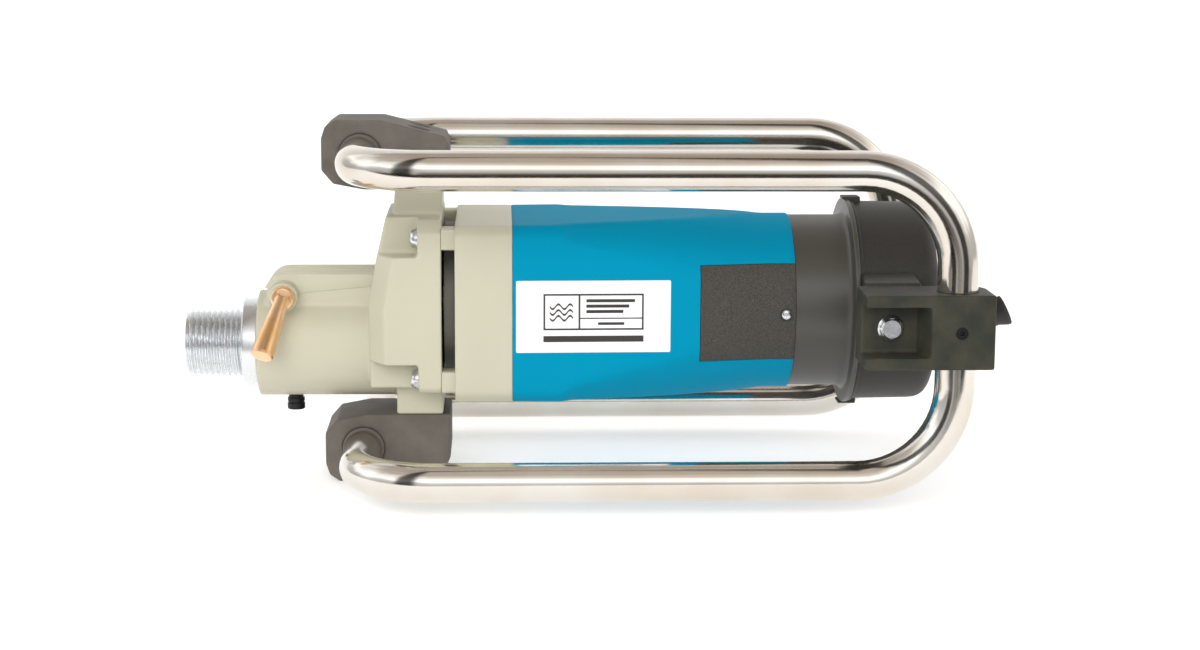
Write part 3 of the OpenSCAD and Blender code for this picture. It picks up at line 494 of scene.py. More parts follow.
def make_finishes(scene):
    cast, shell, metal = scene.vibrator_casting, scene.vibrator_housing, scene.vibrator_metal
    cream, dark = tuple(cast.cream), tuple(shell.dark)
    finish("cast_cream", cream, 0.4, gloss=0.4, grain=(700, 0.05, 0.35), mottle=(14, shaded(cream, 0.94)))
    finish("housing_blue", tuple(shell.blue), 0.55, gloss=0.05, grain=(1600, 0.02, 0.3),
           mottle=(9, shaded(shell.blue, 0.93)))
    finish("dark_plastic", dark, 0.6, gloss=0.25, grain=(1500, 0.12, 0.8), mottle=(2000, shaded(dark, 2.1)))
    finish("cap_plastic", shaded(dark, 0.66), 0.5, gloss=0.3, grain=(1900, 0.08, 0.7), mottle=(2400, dark))
    finish("rear_plastic", (0.046, 0.042, 0.034), 0.4, gloss=0.8, grain=(1500, 0.02, 0.3))
    finish("bracket_grey", tuple(cast.bracket), 0.62, gloss=0.3, grain=(700, 0.25, 1.0),
           mottle=(70, shaded(cast.bracket, 1.3)))
    finish("clamp_dark", tuple(shell.clamp), 0.5, gloss=0.14, grain=(260, 0.08, 0.35),
           mottle=(60, (0.055, 0.052, 0.038)), rough_spread=0.08)
    finish("tube_chrome", tuple(metal.chrome), 0.13, metallic=1.0, grain=(35, 0.12, 0.35),
           mottle=(22, (0.68, 0.62, 0.54)), rough_spread=0.05)
    finish("zinc", tuple(metal.zinc), 0.27, metallic=1.0, rough_spread=0.08, grain=(900, 0.01, 0.3))
    finish("yellow_zinc", tuple(metal.lever), 0.36, metallic=1.0, grain=(500, 0.02, 0.4),
           mottle=(90, (0.95, 0.66, 0.45)), rough_spread=0.08)
    finish("black_oxide", (0.02, 0.02, 0.022), 0.38, metallic=0.6)
    finish("steel", (0.45, 0.46, 0.47), 0.3, metallic=1.0, rough_spread=0.05)
    finish("lamination", (0.25, 0.25, 0.26), 0.45, metallic=1.0)
    finish("copper", (0.60, 0.23, 0.10), 0.35, metallic=1.0)
    finish("brass", (0.60, 0.40, 0.14), 0.3, metallic=1.0)
    finish("carbon", (0.015, 0.015, 0.015), 0.6)
    # painted shade: the fan's colour is made dark to stand in for the shade inside the slot between the
    # gearcase and the ring
    finish("fan_grey", (0.13, 0.125, 0.11), 0.5, metallic=0.6)
    finish("bush_grey", shaded(cast.bracket, 1.15), 0.6, grain=(900, 0.05, 0.5))
    finish("rubber_black", (0.024, 0.022, 0.021), 0.6, grain=(1200, 0.03, 0.4))
    finish("label_white", (0.86, 0.86, 0.86), 0.35)
    finish("label_print", (0.035, 0.032, 0.03), 0.4)
    finish("switch_red", (0.42, 0.02, 0.015), 0.3)


# ---- casings ----


def corner_blend(first, second, ease):
    """The smaller of two radii, with a soft change between them."""
    return -ease * math.log(math.exp(-first / ease) + math.exp(-second / ease))


def casing_radius(half_w, half_h, round_r, ease, turn):
    wide = half_w / max(abs(math.cos(turn)), 1e-6)
    tall = half_h / max(abs(math.sin(turn)), 1e-6)
    return corner_blend(min(wide, tall), round_r, ease)


def casing(name, stations, inner_r, sides=240):
    """A shell of four-sided section with rounded corners; stations are (x, half width, half height, round
    radius, ease)."""
    points = []
    rings = [*stations, (stations[-1][0], None), (stations[0][0], None)]
    for station in rings:
        for side in range(sides):
            turn = 2 * math.pi * (side + 0.5) / sides
            r = inner_r if station[1] is None else casing_radius(*station[1:], turn)
            points.append((station[0], r * math.cos(turn), MOTOR_Z + r * math.sin(turn)))
    mesh = skin_of(name, points, skin_faces(len(rings), sides, True))
    smooth(mesh, 30)
    return mesh


def eased_ends(stations, drop):
    """Adds a small rounded edge at both ends of a casing."""
    first, last = stations[0], stations[-1]
    steps = [(0.0, drop), (0.3 * drop, 0.3 * drop), (drop, 0.0)]
    front = [(first[0] + dx, *(size - dr for size in first[1:4]), first[4]) for dx, dr in steps]
    rear = [(last[0] - dx, *(size - dr for size in last[1:4]), last[4]) for dx, dr in reversed(steps)]
    return [*front, *[s for s in stations if first[0] + drop < s[0] < last[0] - drop], *rear]


RING_HALF_W = high("fan_housing", Y)
RING_HALF_H = high("fan_housing", Z) - MOTOR_Z
HOUSING_REAR_R = 46.6
HOUSING_REAR_HALF = HOUSING_REAR_R + 1
HOUSING_INNER_R = 44.3


def housing_stations(scene):
    """Four-sided front end that turns into a round rear end."""
    corner_r = scene.vibrator_housing.corner
    step_x, step_len, step_depth = HOUSING_X + 25, 7, 2.2
    count = 48
    rows = []
    for i in range(count + 1):
        t = i / count
        x = HOUSING_X + (REAR_X - HOUSING_X) * t
        half_w = RING_HALF_W + (HOUSING_REAR_HALF - RING_HALF_W) * t
        half_h = RING_HALF_H + (HOUSING_REAR_HALF - RING_HALF_H) * t
        change = min(1.0, max(0.0, (x - step_x) / step_len))
        step_drop = step_depth * change * change * (3 - 2 * change)
        taper = (corner_r - HOUSING_REAR_R) * max(0.0, (x - step_x) / (REAR_X - step_x))
        rows.append((x, half_w, half_h, max(corner_r - step_drop - taper, HOUSING_REAR_R), 0.5))
    return rows


class VIBRATOR_OT_motor_housing(bpy.types.Operator):
    """Builds the blue motor housing with its two brush covers and the blank name label"""

    bl_idname = "vibrator.motor_housing"
    bl_label = "Motor Housing"

    def execute(self, context):
        rows = eased_ends(housing_stations(context.scene), 0.5)
        shell = add_object("motor_housing_shell", casing("motor_housing_shell", rows, HOUSING_INNER_R))
        full = shell.data.copy()
        window_x = (low("brush_cover_left", X), REAR_X + 2)
        window_z = (low("brush_cover_left", Z), high("brush_cover_left", Z))
        gap = 0.3
        for side, node in ((-1, "brush_cover_left"), (1, "brush_cover_right")):
            near_y = sorted((side * 36, side * 60))
            cut(shell, block("window", window_x, near_y, window_z))
            cover = add_object(node + "_panel", full.copy())
            panel = block("panel", (window_x[0] + gap, window_x[1]), near_y,
                          (window_z[0] + gap, window_z[1] - gap))
            with_boolean(cover, panel, "INTERSECT")
            pocket = turned("pocket", [(0, 3.5), (4, 3.5)], 0, 40)
            cut(cover, aim(pocket, (COVER_SCREW_X, side * 45.4, COVER_SCREW_Z), (0, side, 0)))
            bevel(cover, 0.25, 50)
            finish_piece(cover, "dark_plastic", "drive_unit", "dark_plastic", node)
        smooth(shell.data, 28)
        finish_piece(shell, "housing_blue", "drive_unit", "housing_blue", "motor_housing")
        self.label()
        return {"FINISHED"}

    def label(self):
        """A white plate with a plain wave sign and bars."""
        tilt = math.atan((RING_HALF_W - HOUSING_REAR_HALF) / (REAR_X - HOUSING_X))
        hinge = Vector((HOUSING_X, -RING_HALF_W, 0))
        shift = Matrix.Translation(hinge * MM)
        lean = shift @ Matrix.Rotation(tilt, 4, "Z") @ shift.inverted()
        x0, x1 = HOUSING_X + 1.8, HOUSING_X + 81.2
        z0, z1 = low("name_label", Z), high("name_label", Z)
        face_y = hinge.y - 0.3
        plate = prism("plate", round_loop(rectangle((x0, x1), (z0, z1)), 0.8), Y, face_y, hinge.y + 0.2)
        plate.transform(lean)
        white = add_object("name_label_plate", plate)
        finish_piece(white, "label_white", "drive_unit", "label_white", "name_label")
        marks = []
        print_y = (face_y - 0.06, face_y + 0.05)

        def bar(xa, xb, za, zb):
            marks.append(block("bar", (x0 + xa, x0 + xb), print_y, (z1 - zb, z1 - za)))

        left, right, top, bottom, line = 14.0, 65.5, 6.8, 25.6, 0.9
        bar(left, right, top, top + line)
        bar(left, right, bottom - line, bottom)
        bar(left, left + line, top + line, bottom - line)
        bar(right - line, right, top + line, bottom - line)
        bar(32.0, 32.0 + line, top + line, bottom - line)
        bar(32.0 + line, right - line, 19.2, 19.2 + line * 0.7)
        for row in range(3):
            bar(36.0, 61.0 - 3.0 * row, 9.6 + 2.8 * row, 11.2 + 2.8 * row)
        bar(42.0, 55.5, 21.6, 23.0)
        bar(left, 65.5, 28.6, 31.8)
        for wave in range(3):
            outline = []
            for edge in (0.55, -0.55):
                row = [(left + 3.2 + 12.0 * t / 16, 3.0 * wave + edge + 1.3 * math.sin(t / 16 * 4 * math.pi))
                       for t in range(17)]
                outline += row if edge > 0 else row[::-1]
            marks.append(prism("wave", [(x0 + a, z1 - 13.4 - b) for a, b in outline], Y, *print_y))
        for mark in marks:
            mark.transform(lean)
        sign = joined("name_label_print", *marks)
        face_outwards(sign.data)
        finish_piece(sign, "label_print", "drive_unit", "label_white")


class VIBRATOR_OT_fan_housing(bpy.types.Operator):
    """Builds the cream ring round the fan with its four spacer blocks"""

    bl_idname = "vibrator.fan_housing"
    bl_label = "Fan Housing"

    def execute(self, context):
        corner_r = context.scene.vibrator_housing.corner
        count = 12
        rows = [(RING_X + (HOUSING_X - RING_X) * i / count, RING_HALF_W, RING_HALF_H, corner_r, 0.35)
                for i in range(count + 1)]
        shell = casing("fan_housing_ring", eased_ends(rows, 0.6), HOUSING_INNER_R - 0.1)
        ring = add_object("fan_housing_ring", shell)
        for sy, sz in CORNERS:
            size_y = sorted((sy * 34, sy * 46.8))
            size_z = sorted((CASE_Z + sz * 31.5, CASE_Z + sz * 42.8))
            outline = round_loop(rectangle(size_y, size_z), 2.0)
            fuse(ring, prism("spacer", outline, X, SLOT_X, RING_X + 1.5))
        smooth(ring.data, 28)
        finish_piece(ring, "cast_cream", "drive_unit", "cast_cream", "fan_housing")
        return {"FINISHED"}


class VIBRATOR_OT_gearcase(bpy.types.Operator):
    """Builds the cream gearcase casting with its nose, lever boss and frame lugs"""

    bl_idname = "vibrator.gearcase"
    bl_label = "Gearcase"

    def execute(self, context):
        crown_r = 9.6
        rib_r, rib_end_x = crown_r + 1.3, NOSE_X + 73
        case = joined("gearcase_casting", copy_of("gearcase"))
        mould(case, context.scene.vibrator_casting.edge / MM, 2)
        turns = [math.radians(angle) for angle in range(20, 91, 7)]
        crown = [(LEVER_X - rib_r * math.cos(turn), LEVER_Z + rib_r * math.sin(turn)) for turn in turns]
        side_view = [*crown, (rib_end_x, LEVER_Z + rib_r), (rib_end_x, LEVER_Z + crown_r - 4),
                     (LEVER_X, LEVER_Z)]
        rib_gap, rib_half = 5.6, 0.9
        ribs = [prism("rib", side_view, Y, rib_gap * row - rib_half, rib_gap * row + rib_half)
                for row in range(-3, 4)]
        rib_set = joined("ribs", *ribs)
        bevel(rib_set, 0.4, 50)
        case = joined("gearcase_casting", taken(case), taken(rib_set))
        finish_piece(case, "cast_cream", "drive_unit", "cast_cream", "gearcase")
        return {"FINISHED"}


# ---- rear end ----


class VIBRATOR_OT_rear_end(bpy.types.Operator):
    """Builds the dark rear housing and the cap with its clamp pads"""

    bl_idname = "vibrator.rear_end"
    bl_label = "Rear Housing and Cap"

    def execute(self, context):
        self.housing()
        self.cap()
        return {"FINISHED"}

    def housing(self):
        """A round shell with a thin flange, the bearing carrier and its hub."""
        flange_x, body_r, inner_r = CAP_X - 2.5, HOUSING_REAR_R - 0.9, 42.5
        skin = fillet([(REAR_X, inner_r), (REAR_X, body_r, 0.4), (flange_x - 0.4, body_r, 3.5),
                       (flange_x, FLANGE_R, 0.8), (CAP_X, FLANGE_R, 0.6), (CAP_X, inner_r, 0.3),
                       (REAR_X, inner_r)], 0.4, 6)
        shell = turned("rear_housing_shell", skin[:-1], MOTOR_Z, 128, True)
        web_x, hub_end_x, bearing_r = REAR_X + 7, REAR_X + 19, 15
        web = [(web_x, 9), (web_x, inner_r + 0.5), (web_x + 4, inner_r + 0.5), (web_x + 4, bearing_r + 3.5),
               (hub_end_x, bearing_r + 3.5), (hub_end_x, bearing_r), (web_x + 1, bearing_r), (web_x + 1, 9)]
        piece = joined("rear_housing_shell", shell, turned("web", web, MOTOR_Z, 64, True))
        smooth(piece.data, 30)
        finish_piece(piece, "rear_plastic", "drive_unit", "dark_plastic", "rear_housing")

    def cap(self):
        """A cup with a lip, clips, clamp pads, air vents and the holes for switch, cord and screws."""
        r, lip_r, inner_r, wall = 53.0, FLANGE_R - 0.6, 48.5, 3.0
        skin = fillet([(CAP_X, inner_r), (CAP_X, lip_r, 0.5), (CAP_X + 1.6, lip_r, 0.4),
                       (CAP_X + 1.8, r, 0.5), (CAP_END_X, r - 0.6, 9.0), (CAP_END_X, AXIS_R),
                       (CAP_END_X - wall, AXIS_R), (CAP_END_X - wall, inner_r, 2.0),
                       (CAP_X, inner_r)], 0.4, 6)
        piece = add_object("rear_cap_shell", turned("rear_cap_shell", skin[:-1], MOTOR_Z, 128, True))
        mid_z, pad_end = middle("clamp_left", Z), 82
        for side in (-1, 1):
            plan = [(CAP_X + 0.4, side * 44), (CAP_X + 0.4, side * 57),
                    (low("clamp_left", X) + 3.8, side * pad_end), (CAP_X + 25, side * pad_end),
                    (CAP_X + 27.5, side * 49), (CAP_X + 27.5, side * 40)]
            pad = add_object("pad", prism("pad", round_loop(plan, 1.2, 3), Z, mid_z - 20, mid_z + 20))
            bevel(pad, 1.0, 60)
            fuse(piece, taken(pad))
            up = (MOTOR_Z + side * 51, MOTOR_Z + side * 56)
            clip = add_object("clip", block("clip", (CAP_X - 3.5, CAP_X + 6), (-5, 5), sorted(up)))
            bevel(clip, 0.6)
            fuse(piece, taken(clip))
        cut(piece, turned("under", [(CAP_X - 5, FLANGE_R), (CAP_X, FLANGE_R)], MOTOR_Z, 96))
        switch_y, switch_z = middle("switch_body", Y), middle("switch_body", Z)
        cut(piece, block("switch", (CAP_END_X - 5, CAP_END_X + 1), (switch_y - 9.5, switch_y + 9.5),
                         (switch_z - 13, switch_z + 13)))
        cut(piece, turned("gland", [(CAP_END_X - 5, 7), (CAP_END_X + 1, 7)], GLAND_Z, 48))
        vent_z, vent_gap, screw_at = 34, 6, 27
        for sz in (-1, 1):
            for row in (-1, 0, 1):
                z = MOTOR_Z + sz * vent_z + row * vent_gap
                slot = round_loop(rectangle((-13, 13), (z - 1.5, z + 1.5)), 1.3)
                cut(piece, prism("vent", slot, X, CAP_END_X - 6, CAP_END_X + 1))
        for sy, sz in CORNERS:
            hole = turned("hole", [(CAP_END_X - 5, 4.1), (CAP_END_X + 1, 4.1)], MOTOR_Z + sz * screw_at, 40)
            hole.transform(Matrix.Translation((0, sy * screw_at * MM, 0)))
            cut(piece, hole)
        face_outwards(piece.data)
        smooth(piece.data, 32)
        finish_piece(piece, "cap_plastic", "drive_unit", "dark_plastic", "rear_cap")


# ---- output connector ----


def thread_depth(phase, depth):
    """Height of a thread flank over its root at a phase of 0 to 1 along one pitch."""
    rise, crest = 0.36, 0.14
    distance = abs(phase - 0.5)
    if distance < crest / 2:
        return depth
    return max(0.0, depth * (1 - (distance - crest / 2) / rise))


class VIBRATOR_OT_connector(bpy.types.Operator):
    """Builds the threaded connector with a true helical thread, and its set screw"""

    bl_idname = "vibrator.connector"
    bl_label = "Output Connector"

    def execute(self, context):
        pitch = context.scene.vibrator_metal.pitch / MM
        depth = 0.61 * pitch
        crest_r = 18.0
        root_r = crest_r - depth
        collar_x = NOSE_X - 8
        sides, rows_per_pitch = 144, 14
        rows = int(30 / pitch * rows_per_pitch)
        rings = [[(THREAD_X, 12.5)] * sides, [(THREAD_X, 12.9)] * sides]
        for row in range(rows + 1):
            x = THREAD_X + (collar_x - THREAD_X) * row / rows
            ring = []
            for side in range(sides):
                phase = ((x - THREAD_X) / pitch - side / sides) % 1
                fade = min(1.0, (x - THREAD_X) / 1.6 + 0.15, (collar_x - x) / 2.0)
                ring.append((x, root_r + thread_depth(phase, depth) * max(fade, 0.0)))
            rings.append(ring)
        collar_r, spigot_r, end_x = 24, 20, NOSE_X + 22.5
        collar = fillet([(collar_x, root_r), (collar_x, collar_r, 0.9), (NOSE_X, collar_r, 0.7),
                         (NOSE_X, spigot_r)], 0.5)
        tail = [*collar[1:], (end_x - 0.5, spigot_r), (end_x, spigot_r - 0.5), (end_x, 11), (end_x - 5, 11),
                (end_x - 5, 12.5)]
        rings += [[p] * sides for p in tail]
        points = []
        for ring in rings:
            for side, (x, r) in enumerate(ring):
                turn = 2 * math.pi * side / sides
                points.append((x, r * math.cos(turn), SPINDLE_Z + r * math.sin(turn)))
        name = "thread_connector_helix"
        piece = add_object(name, skin_of(name, points, skin_faces(len(rings), sides, True)))
        bores = ((LEVER_X, 1, (0, 25), 3.5), (middle("connector_set_screw", X), -1, (17, 25), 3))
        for place, way, reach, radius in bores:
            drill = turned("drill", [(reach[0], radius), (reach[1], radius)], 0, 48)
            cut(piece, aim(drill, (place, 0, SPINDLE_Z), (0, 0, way)))
        smooth(piece.data, 32)
        finish_piece(piece, "zinc", "drive_unit", "zinc", "thread_connector")
        self.set_screw()
        return {"FINISHED"}

    def set_screw(self):
        """A stepped screw that stands out below the nose, with a hexagon socket in its lower end."""
        x, bottom, top = (middle("connector_set_screw", X), low("connector_set_screw", Z),
                          high("connector_set_screw", Z))
        neck_end, shank_r, socket_r = SPINDLE_Z - 28.2, 3, 2.4
        profile = fillet([(bottom, 0), (bottom, 4.7, 0.7), (bottom + 3.4, 4.7, 0.4), (bottom + 3.6, 4.2, 0.1),
                          (bottom + 4.1, 4.2, 0.1), (bottom + 4.3, 4.6, 0.4), (bottom + 6.2, 4.6, 0.4),
                          (bottom + 6.4, 3.9, 0.1), (neck_end, 3.9, 0.1), (neck_end, shank_r),
                          (top, shank_r), (top, 0)], 0.3)
        screw = turned("connector_set_screw_head", profile, 0, 64)
        piece = add_object("connector_set_screw_head", aim(screw, (x, 0, 0), (0, 0, 1)))
        cut(piece, prism("key", hexagon(socket_r, x), Z, bottom - 1, bottom + 4))
        smooth(piece.data)
        finish_piece(piece, "black_oxide", "drive_unit", "black_oxide", "connector_set_screw")


class VIBRATOR_OT_lock_lever(bpy.types.Operator):
    """Builds the lock lever: cam shaft, head disc and tapered handle"""

    bl_idname = "vibrator.lock_lever"
    bl_label = "Lock Lever"

    def execute(self, context):
        head_y = BOSS_Y + 0.2
        head_r, head_len = 6.2, 4.0
        head = fillet([(-0.4, AXIS_R), (0, head_r, 0.6), (head_len, head_r, 1.4),
                       (head_len + 0.4, AXIS_R)], 0.4)
        disc = aim(turned("disc", head, 0, 64), (LEVER_X, head_y, LEVER_Z), (0, -1, 0))
        start = Vector((LEVER_X, head_y - 2, LEVER_Z))
        run = Vector((low("lock_lever", X) + 5.6 - LEVER_X, low("lock_lever", Y) + 3.4 - start.y,
                      low("lock_lever", Z) + 5.4 - LEVER_Z))
        reach = run.length
        rod = fillet([(0, AXIS_R), (0, 3.4), (reach - 1.2, 5.9, 0.3), (reach, 5.2, 0.5),
                      (reach + 0.2, AXIS_R)], 0.3)
        handle = aim(turned("rod", rod, 0, 64), start, run)
        shaft = add_object("shaft", copy_of("lock_lever"))
        room = 60
        cut(shaft, block("outside", (LEVER_X - room, LEVER_X + room), (BOSS_Y - room, BOSS_Y - 0.1),
                         (LEVER_Z - room, LEVER_Z + room)))
        lever = joined("lock_lever_forged", disc)
        fuse(lever, handle)
        lever = joined("lock_lever_forged", taken(lever), taken(shaft))
        smooth(lever.data, 32)
        finish_piece(lever, "yellow_zinc", "lever", "yellow_zinc", "lock_lever")
        return {"FINISHED"}


# ---- tube frame ----


def arc(centre, start, end, steps=14):
    """Points of a quarter bend: centre plus two axis vectors swept from the first to the second."""
    turns = [math.pi / 2 * step / steps for step in range(steps + 1)]
    return [centre + start * math.cos(turn) + end * math.sin(turn) for turn in turns]


def loop_route(side):
    """Centreline of one handle tube, from the upper cross tube round the rear to the lower one."""
    front_r, rear_r = 38.0, 48.0
    outer = side * TUBE_HALF_W
    along, across, up = Vector((1, 0, 0)), Vector((0, side, 0)), Vector((0, 0, 1))
    top_z = FRAME_Z + TUBE_HALF_H
    half = [Vector((CROSS_X, side * 0.5, top_z))]
    centre = Vector((CROSS_X + front_r, outer - side * front_r, top_z))
    half += arc(centre, -along * front_r, across * front_r)
    centre = Vector((UPRIGHT_X - rear_r, outer, top_z - rear_r))
    half += arc(centre, up * rear_r, along * rear_r)
    lower = [Vector((p.x, p.y, 2 * FRAME_Z - p.z)) for p in reversed(half)]
    return half + lower


class VIBRATOR_OT_tube_frame(bpy.types.Operator):
    """Builds the two bent handle tubes and their brackets"""

    bl_idname = "vibrator.tube_frame"
    bl_label = "Tube Frame"

    def execute(self, context):
        tree = tube_tree()
        for side, node in ((-1, "handle_tube_left"), (1, "handle_tube_right")):
            route = loop_route(side)
            curve = bpy.data.curves.new(node + "_bent", "CURVE")
            curve.dimensions = "3D"
            spline = curve.splines.new("POLY")
            spline.points.add(len(route) - 1)
            for point, place in zip(spline.points, route):
                point.co = (*(place * MM), 1)
            path = add_object("path", curve)
            add_tree(path, tree, {"Radius": TUBE_R * MM, "Sides": 64, "Material": FINISHES["tube_chrome"]})
            tube = add_object(node + "_bent", shown_mesh(path))
            bpy.data.objects.remove(path)
            face_outwards(tube.data)
            if self.faces_inwards(tube.data):
                tube.data.flip_normals()
            wall = tube.modifiers.new("Wall", "SOLIDIFY")
            wall.thickness, wall.offset = 1.5 * MM, -1
            bake(tube)
            smooth(tube.data, 40)
            finish_piece(tube, "tube_chrome", "drive_unit", "tube_chrome", node)
        for node in ("top_bracket", "bottom_bracket"):
            bracket = joined(node + "_casting", copy_of(node))
            mould(bracket, 0.85, 3)
            finish_piece(bracket, "bracket_grey", "drive_unit", "bracket_grey", node)
        return {"FINISHED"}

    def faces_inwards(self, mesh):
        """True if the swept skin faces its own centreline."""
        face = mesh.polygons[len(mesh.polygons) // 2]
        height = face.center.z / MM - FRAME_Z
        side = -1 if face.center.y < 0 else 1
        centre = Vector((UPRIGHT_X * MM, side * TUBE_HALF_W * MM, face.center.z))
        return abs(height) < 20 and face.normal.dot(face.center - centre) < 0


class VIBRATOR_OT_clamps(bpy.types.Operator):
    """Builds the two channelled rear clamps"""

    bl_idname = "vibrator.clamps"
    bl_label = "Rear Clamps"

    def execute(self, context):
        for node in ("clamp_left", "clamp_right"):
            clamp = joined(node + "_moulding", copy_of(node))
            mould(clamp, 0.75, 3)
            finish_piece(clamp, "clamp_dark", "drive_unit", "clamp_dark", node)
        return {"FINISHED"}


# ---- fasteners ----


def cross_recess(piece, face_x, reach, width, depth):
    """Cuts a cross recess into a head that faces -X."""
    for turn in (0, math.pi / 2):
        bar = block("cross", (face_x - 1, face_x + depth), (-width / 2, width / 2), (-reach, reach))
        bar.transform(Matrix.Rotation(turn, 4, "X"))
        cut(piece, bar)


def pan_screw(head_r, head_h, washer_r, washer_t, shank_r, shank_len):
    """A pan head screw along X, with its seat at 0 and its head towards -X."""
    top = -washer_t - head_h
    profile = [(top, 0), (top + 0.15, head_r * 0.55), (top + head_h * 0.3, head_r * 0.88),
               (top + head_h * 0.6, head_r), (-washer_t, head_r), (-washer_t, washer_r),
               (0, washer_r), (0, shank_r), (shank_len, shank_r), (shank_len, 0)]
    piece = add_object("screw", turned("screw", profile, 0, 48))
    cross_recess(piece, top, head_r * 0.5, head_r * 0.2, head_h * 0.55)
    mesh = taken(piece)
    smooth(mesh, 30)
    return mesh


def hex_bolt(across_flats, head_h, flange_r, shank_r, shank_len):
    """A flange bolt along X, with its seat at 0 and its head towards -X."""
    corner_r = across_flats / math.sqrt(3)
    piece = add_object("bolt", prism("bolt", hexagon(corner_r), X, -head_h, -0.8))
    crown = turned("crown", [(-head_h - 0.01, across_flats * 0.44), (-head_h + 0.9, across_flats * 0.5),
                             (-head_h + 2.2, corner_r + 0.2), (-0.5, corner_r + 0.2)], 0, 64)
    with_boolean(piece, crown, "INTERSECT")
    profile = [(-2.2, corner_r * 0.9), (-1.3, flange_r - 0.8), (-0.6, flange_r), (0, flange_r),
               (0, shank_r), (shank_len, shank_r), (shank_len, 0), (-2.2, 0)]
    fuse(piece, turned("flange", profile, 0, 64, True))
    dish = turned("dish", [(-head_h - 1, across_flats * 0.33), (-head_h + 0.35, across_flats * 0.3)], 0, 48)
    cut(piece, dish)
    mesh = taken(piece)
    smooth(mesh, 30)
    return mesh


class VIBRATOR_OT_fasteners(bpy.types.Operator):
    """Places the gearcase screws, brush cover screws and clamp bolts"""

    bl_idname = "vibrator.fasteners"
    bl_label = "Fasteners"

    def execute(self, context):
        seat_x = SLOT_X - 12.2
        screw = pan_screw(4.8, 3.2, 5.6, 1.0, 2.5, high("gearcase_screws", X) - seat_x)
        corners = [((seat_x, sy * 38, CASE_Z + sz * 36.7), (0.35 * sy * sz, 0, 0)) for sy, sz in CORNERS]
        self.place("gearcase_screw_set", screw, corners, "gearcase_screws")
        small = pan_screw(2.4, 0.9, 2.45, 0.1, 1.5, 4.2)
        self.place("brush_cover_screw_set", small, self.sides(COVER_SCREW_X, 45.6, COVER_SCREW_Z),
                   "brush_cover_screws")
        bolt = hex_bolt(10.2, 3.6, 6.6, 3, 34)
        self.place("clamp_bolt_set", bolt, self.sides(middle("clamp_bolts", X), 98, middle("clamp_bolts", Z)),
                   "clamp_bolts")
        return {"FINISHED"}

    def sides(self, x, y, z):
        """A place on either side, with the head facing outwards."""
        return [((x, side * y, z), (0, 0, -side * math.pi / 2)) for side in (-1, 1)]

    def place(self, name, mesh, places, node):
        finish_piece(repeated(name, mesh, places, "zinc"), "zinc", "drive_unit", "zinc", node)


class VIBRATOR_OT_drive_line(bpy.types.Operator):
    """Gives every CAD node the finish of its slot"""

    bl_idname = "vibrator.drive_line"
    bl_label = "Drive Line"

    def execute(self, context):
        slots = {s["node"]: s["material_slot"] for s in frame["record"]["subparts"]}
        for name, node in NODES.items():
            node.data.materials.clear()
            node.data.materials.append(FINISHES[slots[name]])
        return {"FINISHED"}


# ---- stage ----


def area_light(name, place, target, size, power):
    lamp = bpy.data.lights.new(name, "AREA")
    lamp.shape, lamp.size, lamp.size_y = "RECTANGLE", size[0], size[1]
    lamp.energy = power
    item = bpy.data.objects.new(name, lamp)
    item.location = place
    item.rotation_euler = (Vector(target) - Vector(place)).to_track_quat("-Z", "Y").to_euler()
    item.visible_glossy = False
    bpy.context.scene.collection.objects.link(item)


